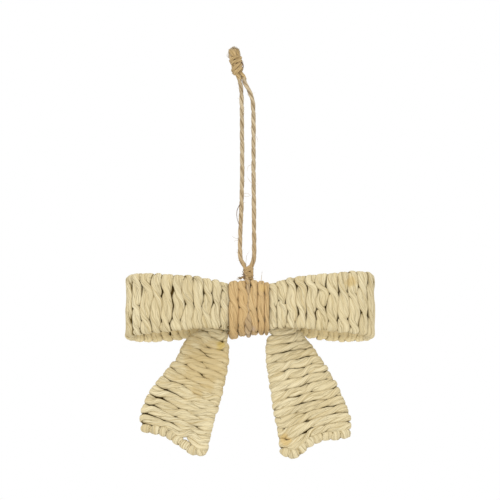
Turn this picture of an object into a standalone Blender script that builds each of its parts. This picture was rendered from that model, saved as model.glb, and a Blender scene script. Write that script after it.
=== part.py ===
"""A bow wound from cream paper rope, tied with tan paper rope and hung on a loop of jute twine.

Metres, +Z up, the bow's face towards -Y. The origin is where a hook or a nail holds the twine
loop, just under its top knot. Two bands form the bow's loops and two slabs its tails. Each is one
rope wound turn beside turn, so each is one solid with a ridge for every turn.
"""

import math

import bpy
from mathutils import Vector

# Touching pieces keep this much air between them
TOUCH_GAP = 0.0003

# The bow's middle, measured from the hook
BOW_DROP = 0.1150
BOW_SHIFT = 0.0025

# The cream paper rope as it lies wound: the width of one turn and the furrow between two turns
TURN_WIDTH = 0.0048
FURROW_DEPTH = 0.0008
# Where in a turn the crest starts and ends, as shares of the turn
CREST = (0.24, 0.76)

# The wound bands of the two loops, free and pressed flat under the centre wrap
BAND_THICKNESS = 0.0050
PRESSED_BAND = 0.0036
KNOT_HEIGHT = 0.0226
# Under 1, a band widens quickly near the wrap and slowly near its outer end
WIDENING = 0.75
OPENING_LENGTH = 0.0050
# 1 gives a loop with a round outer end, less gives it a blunter one
END_BLUNTNESS = 0.88
# Where along the loop it is deepest, as an angle from its inner end
DEEPEST = math.radians(105)

# From front to back over both bands of a loop, and each loop's reach from the bow's middle,
# its height at the outer end and how far that end is lifted
LOOP_DEPTH = 0.0280
LEFT_REACH = 0.0615
LEFT_END_HEIGHT = 0.0330
LEFT_LIFT = 0.0011
RIGHT_REACH = 0.0625
RIGHT_END_HEIGHT = 0.0338
RIGHT_LIFT = 0.0017

# The wound tails: how far below the bow's middle they hang, how far out they reach, and how
# flat their tops are pressed between the bands
TAIL_DROP = 0.0720
LEFT_TAIL_REACH = 0.0534
RIGHT_TAIL_REACH = 0.0498
TAIL_THICKNESS = 0.0050
PRESSED_TAIL = 0.0030
TAIL_ROOT_HEIGHT = 0.0040
LEFT_SWAY = -0.0020
RIGHT_SWAY = -0.0008
# The last turns before the hem bend with it, and the hem's roll has these bevels from its
# crease to its lowest line, in degrees round it
HEM_TURNS = 3
HEM_BEVELS = (-60, -25, 0, 35, 65)

# Matching points down a tail's two edges, as shares of its reach outwards from the bow's middle
# and of the tails' drop down from it. The first two of the outer edge face the side of the wrap,
# and the last ones lie on the middle of the hem.
LEFT_INNER_EDGE = (
    (0.176, 0.317), (0.208, 0.479), (0.255, 0.636),
    (0.311, 0.775), (0.352, 0.910), (0.382, 0.997),
)
LEFT_OUTER_EDGE = (
    (0.384, 0.153), (0.571, 0.219), (0.622, 0.285), (0.708, 0.372),
    (0.828, 0.475), (0.940, 0.589), (1.002, 0.711), (1.000, 0.822),
)
LEFT_HEM_WAVE = (0, -0.0016, 0.0004, 0.0022, 0.0012, 0)
RIGHT_INNER_EDGE = (
    (0.155, 0.294), (0.167, 0.417), (0.199, 0.569),
    (0.235, 0.722), (0.269, 0.850), (0.297, 0.972),
)
RIGHT_OUTER_EDGE = (
    (0.382, 0.146), (0.562, 0.197), (0.622, 0.247), (0.699, 0.322),
    (0.811, 0.447), (0.920, 0.590), (0.998, 0.736), (1.000, 0.861),
)
RIGHT_HEM_WAVE = (0, -0.0036, -0.0002, 0.0014, 0.0004, 0)

# The tan wrap: rope thickness, and its turns on each side of the tie
WRAP_THICKNESS = 0.0024
WRAP_FURROW = 0.0007
LEFT_WRAP_TURNS = 2
LEFT_WRAP_TURN = 0.0042
RIGHT_WRAP_TURNS = 3
RIGHT_WRAP_TURN = 0.0031

# The jute twine: free, and where it is pressed in between two turns of the wrap
TWINE_DIAMETER = 0.0022
TIE_DIAMETER = 0.0015
LOWER_KNOT_SIZE = (0.0056, 0.0052, 0.0084)
LOWER_KNOT_FORWARD = 0.0008
# The furrows between the twine's windings in a knot, as a share of its half width
KNOT_RELIEF = 0.06
TOP_KNOT_FLOOR = 0.0062
TOP_KNOT_FLATNESS = 0.84
# The top knot from its floor up to the brush of cut ends: height, middle and half width
TOP_KNOT_PROFILE = (
    (0, -0.0011, 0.0017), (0.0018, -0.0026, 0.0026), (0.0036, -0.0036, 0.0031),
    (0.0080, -0.0036, 0.0033), (0.0104, -0.0042, 0.0028), (0.0138, -0.0050, 0.0029),
    (0.0170, -0.0048, 0.0017),
)

# The two strands from the lower knot up, as points measured from the hook
LEFT_STRAND_POINTS = (
    (-0.0017, -0.0008, -0.0894), (-0.0021, -0.0006, -0.0835), (-0.0019, -0.0004, -0.0742),
    (-0.0014, -0.0002, -0.0608), (-0.0011, 0, -0.0466), (-0.0011, 0, -0.0324),
    (-0.0012, 0, -0.0160), (-0.0014, 0, -0.0040), (-0.0018, 0, 0.0016),
)
RIGHT_STRAND_POINTS = (
    (0.0046, -0.0008, -0.0902), (0.0050, -0.0006, -0.0860), (0.0049, -0.0004, -0.0742),
    (0.0049, -0.0002, -0.0608), (0.0047, 0, -0.0470), (0.0047, 0, -0.0340),
    (0.0047, 0, -0.0215), (0.0046, 0, -0.0110), (0.0040, 0, -0.0055), (0.0025, 0, -0.0010),
)

# How finely the round edges, the flats, the outlines and the knots are cut into faces
ARC_STEPS = 4
BAND_FACE_STEPS = 3
TAIL_FACE_STEPS = 6
OUTLINE_STEPS = 400
WAVE_STEPS = 40
KNOT_SIDES = 12
LOWER_KNOT_LEVELS = 9
TOP_KNOT_LEVELS = 13
TIE_SIDES = 6
STRAND_POINTS = 20

# Worked out from the sizes above
PRESSED_PLACE = PRESSED_TAIL / 2 + TOUCH_GAP + PRESSED_BAND / 2
HOLE_HALF_DEPTH = PRESSED_PLACE + PRESSED_BAND / 2 + TOUCH_GAP
HOLE_HALF_HEIGHT = KNOT_HEIGHT / 2 + TOUCH_GAP
HOLE_CORNER = PRESSED_BAND / 2 + TOUCH_GAP
TIE_SLOT = TIE_DIAMETER + 2 * TOUCH_GAP
WRAP_LENGTH = LEFT_WRAP_TURNS * LEFT_WRAP_TURN + TIE_SLOT + RIGHT_WRAP_TURNS * RIGHT_WRAP_TURN
WRAP_END = WRAP_LENGTH / 2
TIE_PLACE = -WRAP_END + LEFT_WRAP_TURNS * LEFT_WRAP_TURN + TIE_SLOT / 2
WRAP_TOP = HOLE_HALF_HEIGHT + WRAP_THICKNESS


def clear_scene():
    for item in list(bpy.data.objects):
        bpy.data.objects.remove(item, do_unlink=True)


def share_of(value, low, high):
    """0 at low, 1 at high, and eased in between."""
    step = min(max((value - low) / (high - low), 0), 1)
    return step * step * (3 - 2 * step)


def finish_material(name, colour, roughness):
    material = bpy.data.materials.new(name)
    material.use_nodes = True
    shader = material.node_tree.nodes["Principled BSDF"]
    shader.inputs["Base Color"].default_value = (*colour, 1)
    shader.inputs["Roughness"].default_value = roughness
    shader.inputs["Metallic"].default_value = 0
    return material


def mesh_object(name, points, faces, material, parent):
    mesh = bpy.data.meshes.new(name)
    mesh.from_pydata(points, [], faces)
    mesh.materials.append(material)
    mesh.shade_smooth()
    mesh.set_sharp_from_angle(angle=math.radians(50))
    item = bpy.data.objects.new(name, mesh)
    item.parent = parent
    bpy.context.collection.objects.link(item)
    return item


def strip_cap(first, ring_size):
    """Quads across a slab's end ring, from its upper round edge down to its lower one."""
    faces = []
    for corner in range(ARC_STEPS // 2, ARC_STEPS // 2 + ring_size // 2):
        across = (ARC_STEPS - corner) % ring_size
        face = (corner, corner + 1, (across - 1) % ring_size, across)
        faces.append(tuple(first + item for item in dict.fromkeys(face)))
    return faces


def ring_faces(ring_count, ring_size, joined, flat_ends):
    """Quads between neighbouring rings, joined back to the first ring or closed by two caps."""
    faces = []
    for ring in range(ring_count if joined else ring_count - 1):
        here, there = ring * ring_size, (ring + 1) % ring_count * ring_size
        for corner in range(ring_size):
            after = (corner + 1) % ring_size
            faces.append((here + corner, here + after, there + after, there + corner))
    last = (ring_count - 1) * ring_size
    if not joined and flat_ends:
        faces += [tuple(reversed(range(ring_size))), tuple(range(last, last + ring_size))]
    elif not joined:
        faces += [tuple(reversed(face)) for face in strip_cap(0, ring_size)]
        faces += strip_cap(last, ring_size)
    return faces


def ring_solid(name, rings, material, parent, joined=False, flat_ends=False):
    """One closed body through rings of points, turned inside out if its volume says so."""
    points = [point for ring in rings for point in ring]
    faces = ring_faces(len(rings), len(rings[0]), joined, flat_ends)
    volume = 0
    for face in faces:
        for second, third in zip(face[1:-1], face[2:]):
            volume += points[face[0]].dot(points[second].cross(points[third]))
    if volume < 0:
        faces = [tuple(reversed(face)) for face in faces]
    return mesh_object(name, points, faces, material, parent)


def smooth_points(points, count):
    """Evenly numbered points on a smooth curve through the given ones."""
    points = [Vector(point) for point in points]
    ends = [2 * points[0] - points[1]] + points + [2 * points[-1] - points[-2]]
    found = []
    for step in range(count):
        place = step / (count - 1) * (len(points) - 1)
        span = min(int(place), len(points) - 2)
        t = place - span
        a, b, c, d = ends[span:span + 4]
        curve = 2 * b + (c - a) * t + (2 * a - 5 * b + 4 * c - d) * t**2 + (3 * b - a - 3 * c + d) * t**3
        found.append(curve / 2)
    return found


def walk(points, distances):
    """The places at these distances along a line of points."""
    found, span, before = [], 0, 0
    length = (points[1] - points[0]).length
    for distance in distances:
        while distance > before + length and span < len(points) - 2:
            span += 1
            before += length
            length = (points[span + 1] - points[span]).length
        found.append(points[span].lerp(points[span + 1], (distance - before) / length))
    return found


def line_length(points):
    return sum((after - point).length for point, after in zip(points, points[1:]))


def slab_section(thickness, height, face_steps):
    """Points round an upright slab with half-round edges, as (through, up)."""
    radius = thickness / 2
    straight = height / 2 - radius
    points = []
    for end in (1, -1):
        for step in range(ARC_STEPS + 1):
            angle = math.pi * step / ARC_STEPS
            points.append((end * radius * math.cos(angle), end * (straight + radius * math.sin(angle))))
        for step in range(1, face_steps):
            points.append((-end * radius, end * straight * (1 - 2 * step / face_steps)))
    return points


def turn_places(length):
    """Distances along a wound piece, with True on a crest, three places for each turn."""
    turns = max(round(length / TURN_WIDTH), 2)
    places = []
    for turn in range(turns):
        places += [(turn, False), (turn + CREST[0], True), (turn + CREST[1], True)]
    return [(place * length / turns, crest) for place, crest in places + [(turns, False)]]


def loop_outline(side, reach):
    """The middle line of a loop's band from above, from its front end round to its back end."""
    start = WRAP_END + TOUCH_GAP
    length = reach - BAND_THICKNESS / 2 - start
    deepest = LOOP_DEPTH / 2 - BAND_THICKNESS / 2 - PRESSED_PLACE * math.cos(DEEPEST / 2)
    swell = deepest / (math.sin(DEEPEST) ** END_BLUNTNESS * math.sin(DEEPEST / 2))
    outline = [Vector((side * TOUCH_GAP / 2, -PRESSED_PLACE, 0))]
    for step in range(OUTLINE_STEPS + 1):
        turn = 2 * math.pi * step / OUTLINE_STEPS
        rise = math.copysign(abs(math.sin(turn)) ** END_BLUNTNESS, math.sin(turn))
        through = swell * rise * math.sin(turn / 2) + PRESSED_PLACE * math.cos(turn / 2)
        outline.append(Vector((side * (start + length * (1 - math.cos(turn)) / 2), -through, 0)))
    outline.append(Vector((side * TOUCH_GAP / 2, PRESSED_PLACE, 0)))
    return outline


def build_loop(name, side, reach, end_height, lift, material, bow):
    """One rope wound round a flat band that bends out from the wrap and back."""
    outline = loop_outline(side, reach)
    length = line_length(outline)
    under_wrap = WRAP_END + TOUCH_GAP / 2
    stations = [(0, False), (under_wrap, False)]
    for place, crest in turn_places(length - 2 * under_wrap)[1:-1]:
        stations.append((under_wrap + place, crest))
    stations += [(length - under_wrap, False), (length, False)]
    middles = walk(outline, [place for place, crest in stations])
    rings = []
    for number, (middle, (place, crest)) in enumerate(zip(middles, stations)):
        before, after = middles[max(number - 1, 0)], middles[min(number + 1, len(middles) - 1)]
        forward = (after - before).normalized()
        if number in (0, len(middles) - 1):
            forward = Vector((side if number == 0 else -side, 0, 0))
        outward = Vector((forward.y, -forward.x, 0))
        far = abs(middle.x)
        free = share_of(far, WRAP_END + TOUCH_GAP, WRAP_END + OPENING_LENGTH)
        grown = min(max((far - WRAP_END) / (reach - WRAP_END), 0), 1) ** WIDENING
        furrow = 0 if crest else FURROW_DEPTH * free
        thickness = PRESSED_BAND + (BAND_THICKNESS - PRESSED_BAND) * free - furrow
        height = KNOT_HEIGHT + (end_height - KNOT_HEIGHT) * grown - furrow
        centre = middle + Vector((0, 0, lift * grown))
        section = slab_section(thickness, height, BAND_FACE_STEPS)
        rings.append([centre + outward * through + Vector((0, 0, up)) for through, up in section])
    return ring_solid(name, rings, material, bow)


def wave_at(wave, share):
    """The hem's rise above its straight line, at a share of the way from inner to outer edge."""
    heights = smooth_points([(0, 0, height) for height in wave], WAVE_STEPS + 1)
    return heights[round(min(max(share, 0), 1) * WAVE_STEPS)].z


def build_tail(name, side, reach, inner_edge, outer_edge, wave, sway, material, bow):
    """One rope wound round a flat tail, closed below by its rolled hem."""
    root_low = -HOLE_HALF_HEIGHT + 2 * TOUCH_GAP
    root_high = root_low + TAIL_ROOT_HEIGHT
    root_out = WRAP_END + TOUCH_GAP
    beside_wrap = WRAP_END + 2 * TOUCH_GAP
    inner_points = [(root_out, 0, root_low), (beside_wrap, 0, -HOLE_HALF_HEIGHT)]
    inner_points.append((beside_wrap, 0, -WRAP_TOP))
    inner_points += [(out * reach, 0, -share * TAIL_DROP) for out, share in inner_edge]
    outer_points = [(root_out, 0, root_high)]
    outer_points += [(out * reach, 0, -share * TAIL_DROP) for out, share in outer_edge]
    inner = smooth_points(inner_points, OUTLINE_STEPS)
    outer = smooth_points(outer_points, OUTLINE_STEPS)
    middle = [low.lerp(high, 0.5) for low, high in zip(inner, outer)]
    length = line_length(middle)
    covered = [0]
    for point, after in zip(middle, middle[1:]):
        covered.append(covered[-1] + (after - point).length)
    band_foot = -KNOT_HEIGHT / 2 - FURROW_DEPTH
    hem_radius = TAIL_THICKNESS / 2
    lines = [(Vector((TOUCH_GAP / 2, 0, root_low)), Vector((TOUCH_GAP / 2, 0, root_high)), False, 0)]
    for place, crest in turn_places(length - TURN_WIDTH / 2):
        index = min(range(len(covered)), key=lambda item: abs(covered[item] - place))
        bent = share_of(place, length - HEM_TURNS * TURN_WIDTH, length)
        lines.append((inner[index], outer[index], crest, bent))
    down = (middle[-1] - middle[-OUTLINE_STEPS // 50]).normalized()
    rings = []
    for low, high, crest, bent in lines:
        furrow = 0 if crest else FURROW_DEPTH
        pressed = share_of(low.z, band_foot - TAIL_THICKNESS, band_foot - TOUCH_GAP)
        furrow *= 1 - pressed
        width = (high - low).length - furrow
        across = (high - low).normalized()
        ring = []
        for through, along in slab_section(TAIL_THICKNESS - furrow, width, TAIL_FACE_STEPS):
            share = along / width + 0.5
            point = low.lerp(high, 0.5) + across * along
            point.z += wave_at(wave, share) * bent
            nearness = 1 - share_of(abs(point.x), WRAP_END + 2 * TOUCH_GAP, 2 * WRAP_END)
            height_share = share_of(point.z, band_foot - TAIL_THICKNESS / 2, band_foot)
            squeeze = 1 - (1 - PRESSED_TAIL / TAIL_THICKNESS) * nearness * height_share
            lean = sway * share_of(-point.z, -band_foot, -inner[-1].z)
            ring.append(Vector((side * point.x, through * squeeze + lean, point.z)))
        rings.append(ring)
    hem_low, hem_high = inner[-1], outer[-1]
    width = (hem_high - hem_low).length
    across = (hem_high - hem_low).normalized()
    for angle in HEM_BEVELS:
        turn = math.radians(angle)
        ring = []
        thickness = 2 * hem_radius * math.cos(turn)
        for through, along in slab_section(thickness, width - hem_radius * abs(math.sin(turn)), TAIL_FACE_STEPS):
            point = hem_low.lerp(hem_high, 0.5) + across * along + down * hem_radius * math.sin(turn)
            point.z += wave_at(wave, along / width + 0.5)
            ring.append(Vector((side * point.x, through + sway, point.z)))
        rings.append(ring)
    return ring_solid(name, rings, material, bow)


def round_rectangle(half_depth, half_height, corner, place):
    """Points round the stack of bands that the wrap goes about, at a place along X."""
    points = []
    for quarter, (deep, high) in enumerate(((1, 1), (-1, 1), (-1, -1), (1, -1))):
        for step in range(ARC_STEPS + 1):
            angle = math.pi / 2 * (quarter + step / ARC_STEPS)
            y = deep * (half_depth - corner) + corner * math.cos(angle)
            z = high * (half_height - corner) + corner * math.sin(angle)
            points.append(Vector((place, y, z)))
    return points


def wrap_ring(outwards, place):
    return round_rectangle(
        HOLE_HALF_DEPTH + outwards, HOLE_HALF_HEIGHT + outwards, HOLE_CORNER + outwards, place
    )


def build_wrap(material, bow):
    """Turns of tan rope round the bands, with a slot that the tie lies in."""
    rings = []
    place = -WRAP_END
    for turns, width in ((LEFT_WRAP_TURNS, LEFT_WRAP_TURN), (RIGHT_WRAP_TURNS, RIGHT_WRAP_TURN)):
        for turn in range(turns):
            rings.append(wrap_ring(WRAP_THICKNESS - WRAP_FURROW, place))
            rings.append(wrap_ring(WRAP_THICKNESS, place + width * CREST[0]))
            rings.append(wrap_ring(WRAP_THICKNESS, place + width * CREST[1]))
            place += width
        rings.append(wrap_ring(WRAP_THICKNESS - WRAP_FURROW, place))
        if place < WRAP_END - TIE_SLOT:
            slot_floor = WRAP_THICKNESS - TIE_DIAMETER - TOUCH_GAP
            rings.append(wrap_ring(slot_floor, place + TOUCH_GAP / 2))
            rings.append(wrap_ring(slot_floor, place + TIE_SLOT - TOUCH_GAP / 2))
            place += TIE_SLOT
    rings.append(wrap_ring(0, WRAP_END))
    rings.append(wrap_ring(0, -WRAP_END))
    return ring_solid("centre_wrap", rings, material, bow, joined=True)


def build_tie(material, bow):
    """The twine round the wrap's waist, sunk level with the turns beside it."""
    rings = []
    corners = wrap_ring(WRAP_THICKNESS - TIE_DIAMETER / 2, TIE_PLACE)
    for corner, point in enumerate(corners):
        before, after = corners[corner - 1], corners[(corner + 1) % len(corners)]
        forward = (after - before).normalized()
        outward = Vector((1, 0, 0)).cross(forward)
        ring = []
        for side in range(TIE_SIDES):
            angle = 2 * math.pi * side / TIE_SIDES
            aside = Vector((math.cos(angle), 0, 0)) + outward * math.sin(angle)
            ring.append(point + aside * TIE_DIAMETER / 2)
        rings.append(ring)
    return ring_solid("hanger_tie", rings, material, bow, joined=True)


def lower_knot_centre():
    """The lower knot sits on the wrap's top, straight over the tie."""
    rest = WRAP_TOP + TOUCH_GAP + LOWER_KNOT_SIZE[2] / 2
    return Vector((BOW_SHIFT + TIE_PLACE, -LOWER_KNOT_FORWARD, -BOW_DROP + rest))


def build_lower_knot(material):
    """A tight round knot with the slanting bulges of the twine wound over itself."""
    rings = []
    for level in range(LOWER_KNOT_LEVELS):
        rise = math.pi * (level + 0.5) / LOWER_KNOT_LEVELS
        ring = []
        for side in range(KNOT_SIDES):
            angle = 2 * math.pi * side / KNOT_SIDES
            bulge = 1 - KNOT_RELIEF * math.sin(rise) * (1 - math.cos(2 * angle + 3 * rise))
            x = LOWER_KNOT_SIZE[0] / 2 * math.cos(angle) * math.sin(rise) * bulge
            y = LOWER_KNOT_SIZE[1] / 2 * math.sin(angle) * math.sin(rise) * bulge
            z = LOWER_KNOT_SIZE[2] / 2 * math.cos(rise) / math.cos(math.pi / 2 / LOWER_KNOT_LEVELS)
            ring.append(Vector((x, y, z)))
        rings.append(ring)
    knot = ring_solid("lower_knot", rings, material, None, flat_ends=True)
    knot.location = lower_knot_centre()
    return knot


def build_top_knot(material):
    """An overhand knot below, and the brush of the two cut ends above it."""
    rings = []
    profile = smooth_points(TOP_KNOT_PROFILE, TOP_KNOT_LEVELS)
    for level, (height, lean, half_width) in enumerate(profile):
        ring = []
        for side in range(KNOT_SIDES):
            angle = 2 * math.pi * side / KNOT_SIDES
            lobe = 1 - KNOT_RELIEF * (1 - math.cos(3 * angle + level / 2))
            x = lean + half_width * lobe * math.cos(angle)
            y = half_width * TOP_KNOT_FLATNESS * lobe * math.sin(angle)
            ring.append(Vector((x, y, height)))
        rings.append(ring)
    knot = ring_solid("top_knot", rings, material, None, flat_ends=True)
    knot.location = (0, 0, TOP_KNOT_FLOOR)
    return knot


def build_strand(name, points, side, material):
    """A strand of the hanger, from just above the lower knot to just below the top one."""
    knot = lower_knot_centre()
    towards = (Vector(points[0]) - knot).normalized()
    size = LOWER_KNOT_SIZE
    scaled = math.sqrt(sum((2 * towards[axis] / size[axis]) ** 2 for axis in range(3)))
    foot = knot + towards * (1 / scaled + TOUCH_GAP)
    head_x = TOP_KNOT_PROFILE[0][1] + side * (TWINE_DIAMETER + TOUCH_GAP) / 2
    head = Vector((head_x, 0, TOP_KNOT_FLOOR - TOUCH_GAP))
    neck = head - Vector((0, 0, TWINE_DIAMETER))
    route = smooth_points([foot, *points, neck, head], STRAND_POINTS)
    curve = bpy.data.curves.new(name, "CURVE")
    curve.dimensions = "3D"
    curve.bevel_depth = TWINE_DIAMETER / 2
    curve.bevel_resolution = 2
    curve.use_fill_caps = True
    spline = curve.splines.new("POLY")
    spline.points.add(len(route) - 1)
    for place, point in zip(spline.points, route):
        place.co = (*point, 1)
    curve.materials.append(material)
    strand = bpy.data.objects.new(name, curve)
    bpy.context.collection.objects.link(strand)
    return strand


clear_scene()
cream = finish_material("cream_paper_rope", (0.69, 0.57, 0.35), 0.85)
tan = finish_material("tan_paper_rope", (0.60, 0.42, 0.21), 0.85)
jute = finish_material("jute_twine", (0.53, 0.41, 0.26), 0.95)

bow = bpy.data.objects.new("bow_middle", None)
bow.location = (BOW_SHIFT, 0, -BOW_DROP)
bpy.context.collection.objects.link(bow)

build_loop("left_loop", -1, LEFT_REACH, LEFT_END_HEIGHT, LEFT_LIFT, cream, bow)
build_loop("right_loop", 1, RIGHT_REACH, RIGHT_END_HEIGHT, RIGHT_LIFT, cream, bow)
build_tail(
    "left_tail", -1, LEFT_TAIL_REACH, LEFT_INNER_EDGE, LEFT_OUTER_EDGE, LEFT_HEM_WAVE, LEFT_SWAY, cream, bow
)
build_tail(
    "right_tail", 1, RIGHT_TAIL_REACH, RIGHT_INNER_EDGE, RIGHT_OUTER_EDGE, RIGHT_HEM_WAVE, RIGHT_SWAY, cream, bow
)
build_wrap(tan, bow)
build_tie(jute, bow)
build_lower_knot(jute)
build_strand("left_strand", LEFT_STRAND_POINTS, -1, jute)
build_strand("right_strand", RIGHT_STRAND_POINTS, 1, jute)
build_top_knot(jute)
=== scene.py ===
# %% [markdown]
# # A hanging bow wound from paper rope
# The real object is a bow about 12 cm wide. Its two loops and two tails are flat bands, and each
# band is one length of twisted paper rope wound turn beside turn. Tan paper rope binds the middle,
# and a loop of jute twine hangs the bow up. The lesson shows how one rule, a two-ply rope that
# follows a path, makes nearly every piece, and how the paths are worked out.

# %% Load the measured model
import math

import bmesh
import bpy
import numpy as np
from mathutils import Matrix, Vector


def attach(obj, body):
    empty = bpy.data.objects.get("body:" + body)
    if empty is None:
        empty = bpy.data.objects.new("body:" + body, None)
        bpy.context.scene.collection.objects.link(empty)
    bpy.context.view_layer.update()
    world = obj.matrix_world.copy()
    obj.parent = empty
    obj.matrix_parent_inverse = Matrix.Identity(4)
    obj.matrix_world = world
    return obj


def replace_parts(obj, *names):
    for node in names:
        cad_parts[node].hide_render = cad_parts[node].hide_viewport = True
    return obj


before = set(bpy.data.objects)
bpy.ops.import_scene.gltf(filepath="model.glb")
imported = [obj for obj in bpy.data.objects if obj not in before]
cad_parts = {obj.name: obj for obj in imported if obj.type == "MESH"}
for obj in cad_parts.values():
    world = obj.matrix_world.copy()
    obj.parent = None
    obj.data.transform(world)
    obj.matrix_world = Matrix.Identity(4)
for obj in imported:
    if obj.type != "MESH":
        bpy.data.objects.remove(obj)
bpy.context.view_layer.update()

# %% [markdown]
# ## Camera
# The photo looks slightly up at the bow from straight in front. A long lens from 1.1 m flattens
# the picture as a product photo does. The camera comes before the pieces, because it settles how
# much of the hanger has to be seen.

# %% Camera at the photo's angle
SENSOR_WIDTH = 36
CAMERA_DISTANCE = 1.1
SPAN_IN_PICTURE = 0.25
CAMERA_TARGET = Vector((0.0029, 0, -0.0845))
CAMERA_ELEVATION = math.radians(-14)


def in_scene(name, data):
    """A new object with this data, shown in the scene."""
    item = bpy.data.objects.new(name, data)
    bpy.context.scene.collection.objects.link(item)
    return item


camera_data = bpy.data.cameras.new("photo_camera")
camera_data.sensor_width = SENSOR_WIDTH
camera_data.lens = SENSOR_WIDTH * CAMERA_DISTANCE / SPAN_IN_PICTURE
camera = in_scene("photo_camera", camera_data)
towards_camera = Vector((0, -math.cos(CAMERA_ELEVATION), math.sin(CAMERA_ELEVATION)))
camera.location = CAMERA_TARGET + towards_camera * CAMERA_DISTANCE
camera.rotation_euler = (-towards_camera).to_track_quat("-Z", "Y").to_euler()
bpy.context.scene.camera = camera
print("lens in mm:", round(camera_data.lens, 1))

# %% [markdown]
# ## Small helpers for node trees
# A node tree is easier to read when a sum looks like a sum. A Value stands for a node's result,
# and adding or multiplying two of them adds the Math node that does it. The same helpers serve
# geometry and materials.

# %% Node helpers
def feed(value, socket):
    """Links another node's result to a socket, or sets a plain value on it."""
    if isinstance(value, Value):
        value.tree.links.new(value.socket, socket)
    else:
        socket.default_value = value


def add_node(tree, kind, *values, named=None, output=0, **settings):
    """Adds a node, feeds its inputs in order or by name, and gives back one of its results."""
    node = tree.nodes.new(kind)
    for name, value in settings.items():
        setattr(node, name, value)
    open_sockets = [socket for socket in node.inputs if socket.enabled]
    for value, socket in zip(values, open_sockets):
        feed(value, socket)
    for name, value in (named or {}).items():
        feed(value, node.inputs[name])
    return Value(tree, node.outputs[output])


class Value:
    """A node's result. Reckoning with it adds nodes to its tree."""

    def __init__(self, tree, socket):
        self.tree, self.socket = tree, socket

    def math(self, operation, *others):
        return add_node(self.tree, "ShaderNodeMath", self, *others, operation=operation)

    def __add__(self, other):
        return self.math("ADD", other)

    def __sub__(self, other):
        return self.math("SUBTRACT", other)

    def __mul__(self, other):
        return self.math("MULTIPLY", other)

    def __pow__(self, power):
        return self.math("POWER", power)

    def __abs__(self):
        return self.math("ABSOLUTE")

    def vector(self, operation, *others):
        output = "Value" if operation == "DISTANCE" else "Vector"
        return add_node(self.tree, "ShaderNodeVectorMath", self, *others, operation=operation, output=output)

    def scaled(self, amount):
        named = {"Vector": self, "Scale": amount}
        return add_node(self.tree, "ShaderNodeVectorMath", named=named, operation="SCALE")

    def parts(self):
        """The x, y and z of a vector."""
        node = add_node(self.tree, "ShaderNodeSeparateXYZ", self).socket.node
        return [Value(self.tree, socket) for socket in node.outputs]

    def eased(self, low, high, start=0, end=1):
        """Start at low, end at high, and eased in between."""
        named = {"Value": self, "From Min": low, "From Max": high, "To Min": start, "To Max": end}
        return add_node(
            self.tree, "ShaderNodeMapRange", named=named, output="Result", interpolation_type="SMOOTHSTEP",
        )


def joined(x, y, z):
    return add_node(x.tree, "ShaderNodeCombineXYZ", x, y, z)


def noise(place, scale, detail):
    return add_node(place.tree, "ShaderNodeTexNoise", named={"Vector": place, "Scale": scale, "Detail": detail})


def wrapped_noise(angle, fineness, lengthwise, detail):
    """Noise wrapped round a ply, so that it has no seam, and drawn out along it."""
    return noise(joined(angle.math("COSINE") * fineness, angle.math("SINE") * fineness, lengthwise), 1, detail)

# %% [markdown]
# ## The rope rule
# Paper rope and jute twine are both two plies laid round each other. Wound tight on a flat band,
# the paper rope flattens: where its plies lie side by side it is wide and thin, and half a twist
# further on, where one ply lies on the other, it is narrow and thick. That is why the real turns
# swell and pinch, and why slanting grooves cross them.
#
# Each ply is made from a Mesh Cylinder whose rings are moved to the points of a path. The path is
# a chain of vertices that carry what the rule needs: the way forward, the way out of the band,
# the twist there, the room beside the neighbours, and the distance along the rope. A cylinder
# gives closed ends and an even net, which a swept curve wouldn't keep round the tight edges.

# %% The two-ply rope tree
# A ply's creases: how many radians they turn round it in a metre, how fine they are round it,
# and how fast they change along it
CREASE_SLANT, CREASE_FINENESS, CREASE_PER_METRE = 170, 1.5, 90
# How strongly a ply swells, and how often
SWELLING, SWELLS_PER_METRE = 0.3, 75
# How far apart the two plies lie in the noise, so that they differ
CREASE_SHIFT, SWELLING_SHIFT = 31.7, 9.3
ROPE_SIZES = (
    "Spread", "Stack", "Half width", "Half thickness", "Widening", "Thickening", "Squareness", "Crease depth",
    "Crown", "Seed",
)
ROPE_INPUTS = {
    "Points round": "NodeSocketInt", "Finish": "NodeSocketMaterial",
    **dict.fromkeys(ROPE_SIZES, "NodeSocketFloat"),
}


def new_tree(name, inputs):
    """A geometry tree with a Geometry input and output and these named inputs."""
    tree = bpy.data.node_groups.new(name, "GeometryNodeTree")
    for label, kind in {"Geometry": "NodeSocketGeometry", **inputs}.items():
        tree.interface.new_socket(label, in_out="INPUT", socket_type=kind)
    tree.interface.new_socket("Geometry", in_out="OUTPUT", socket_type="NodeSocketGeometry")
    outputs = tree.nodes.new("NodeGroupInput").outputs
    return tree, {socket.name: Value(tree, socket) for socket in outputs}


def named_attribute(tree, kind, name):
    kind_of_node = "GeometryNodeInputNamedAttribute"
    return add_node(tree, kind_of_node, named={"Name": name}, output="Attribute", data_type=kind)


def on_path(path, kind, value, index):
    """A value, or a named attribute, of the path's point with this index."""
    if isinstance(value, str):
        value = named_attribute(path.tree, kind, value)
    named = {"Geometry": path, "Value": value, "Index": index}
    return add_node(path.tree, "GeometryNodeSampleIndex", named=named, data_type=kind, domain="POINT")


def squared(value, power):
    """Keeps the sign of a sine or cosine and raises the rest to a power."""
    return abs(value) ** power * value.math("SIGN")


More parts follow.
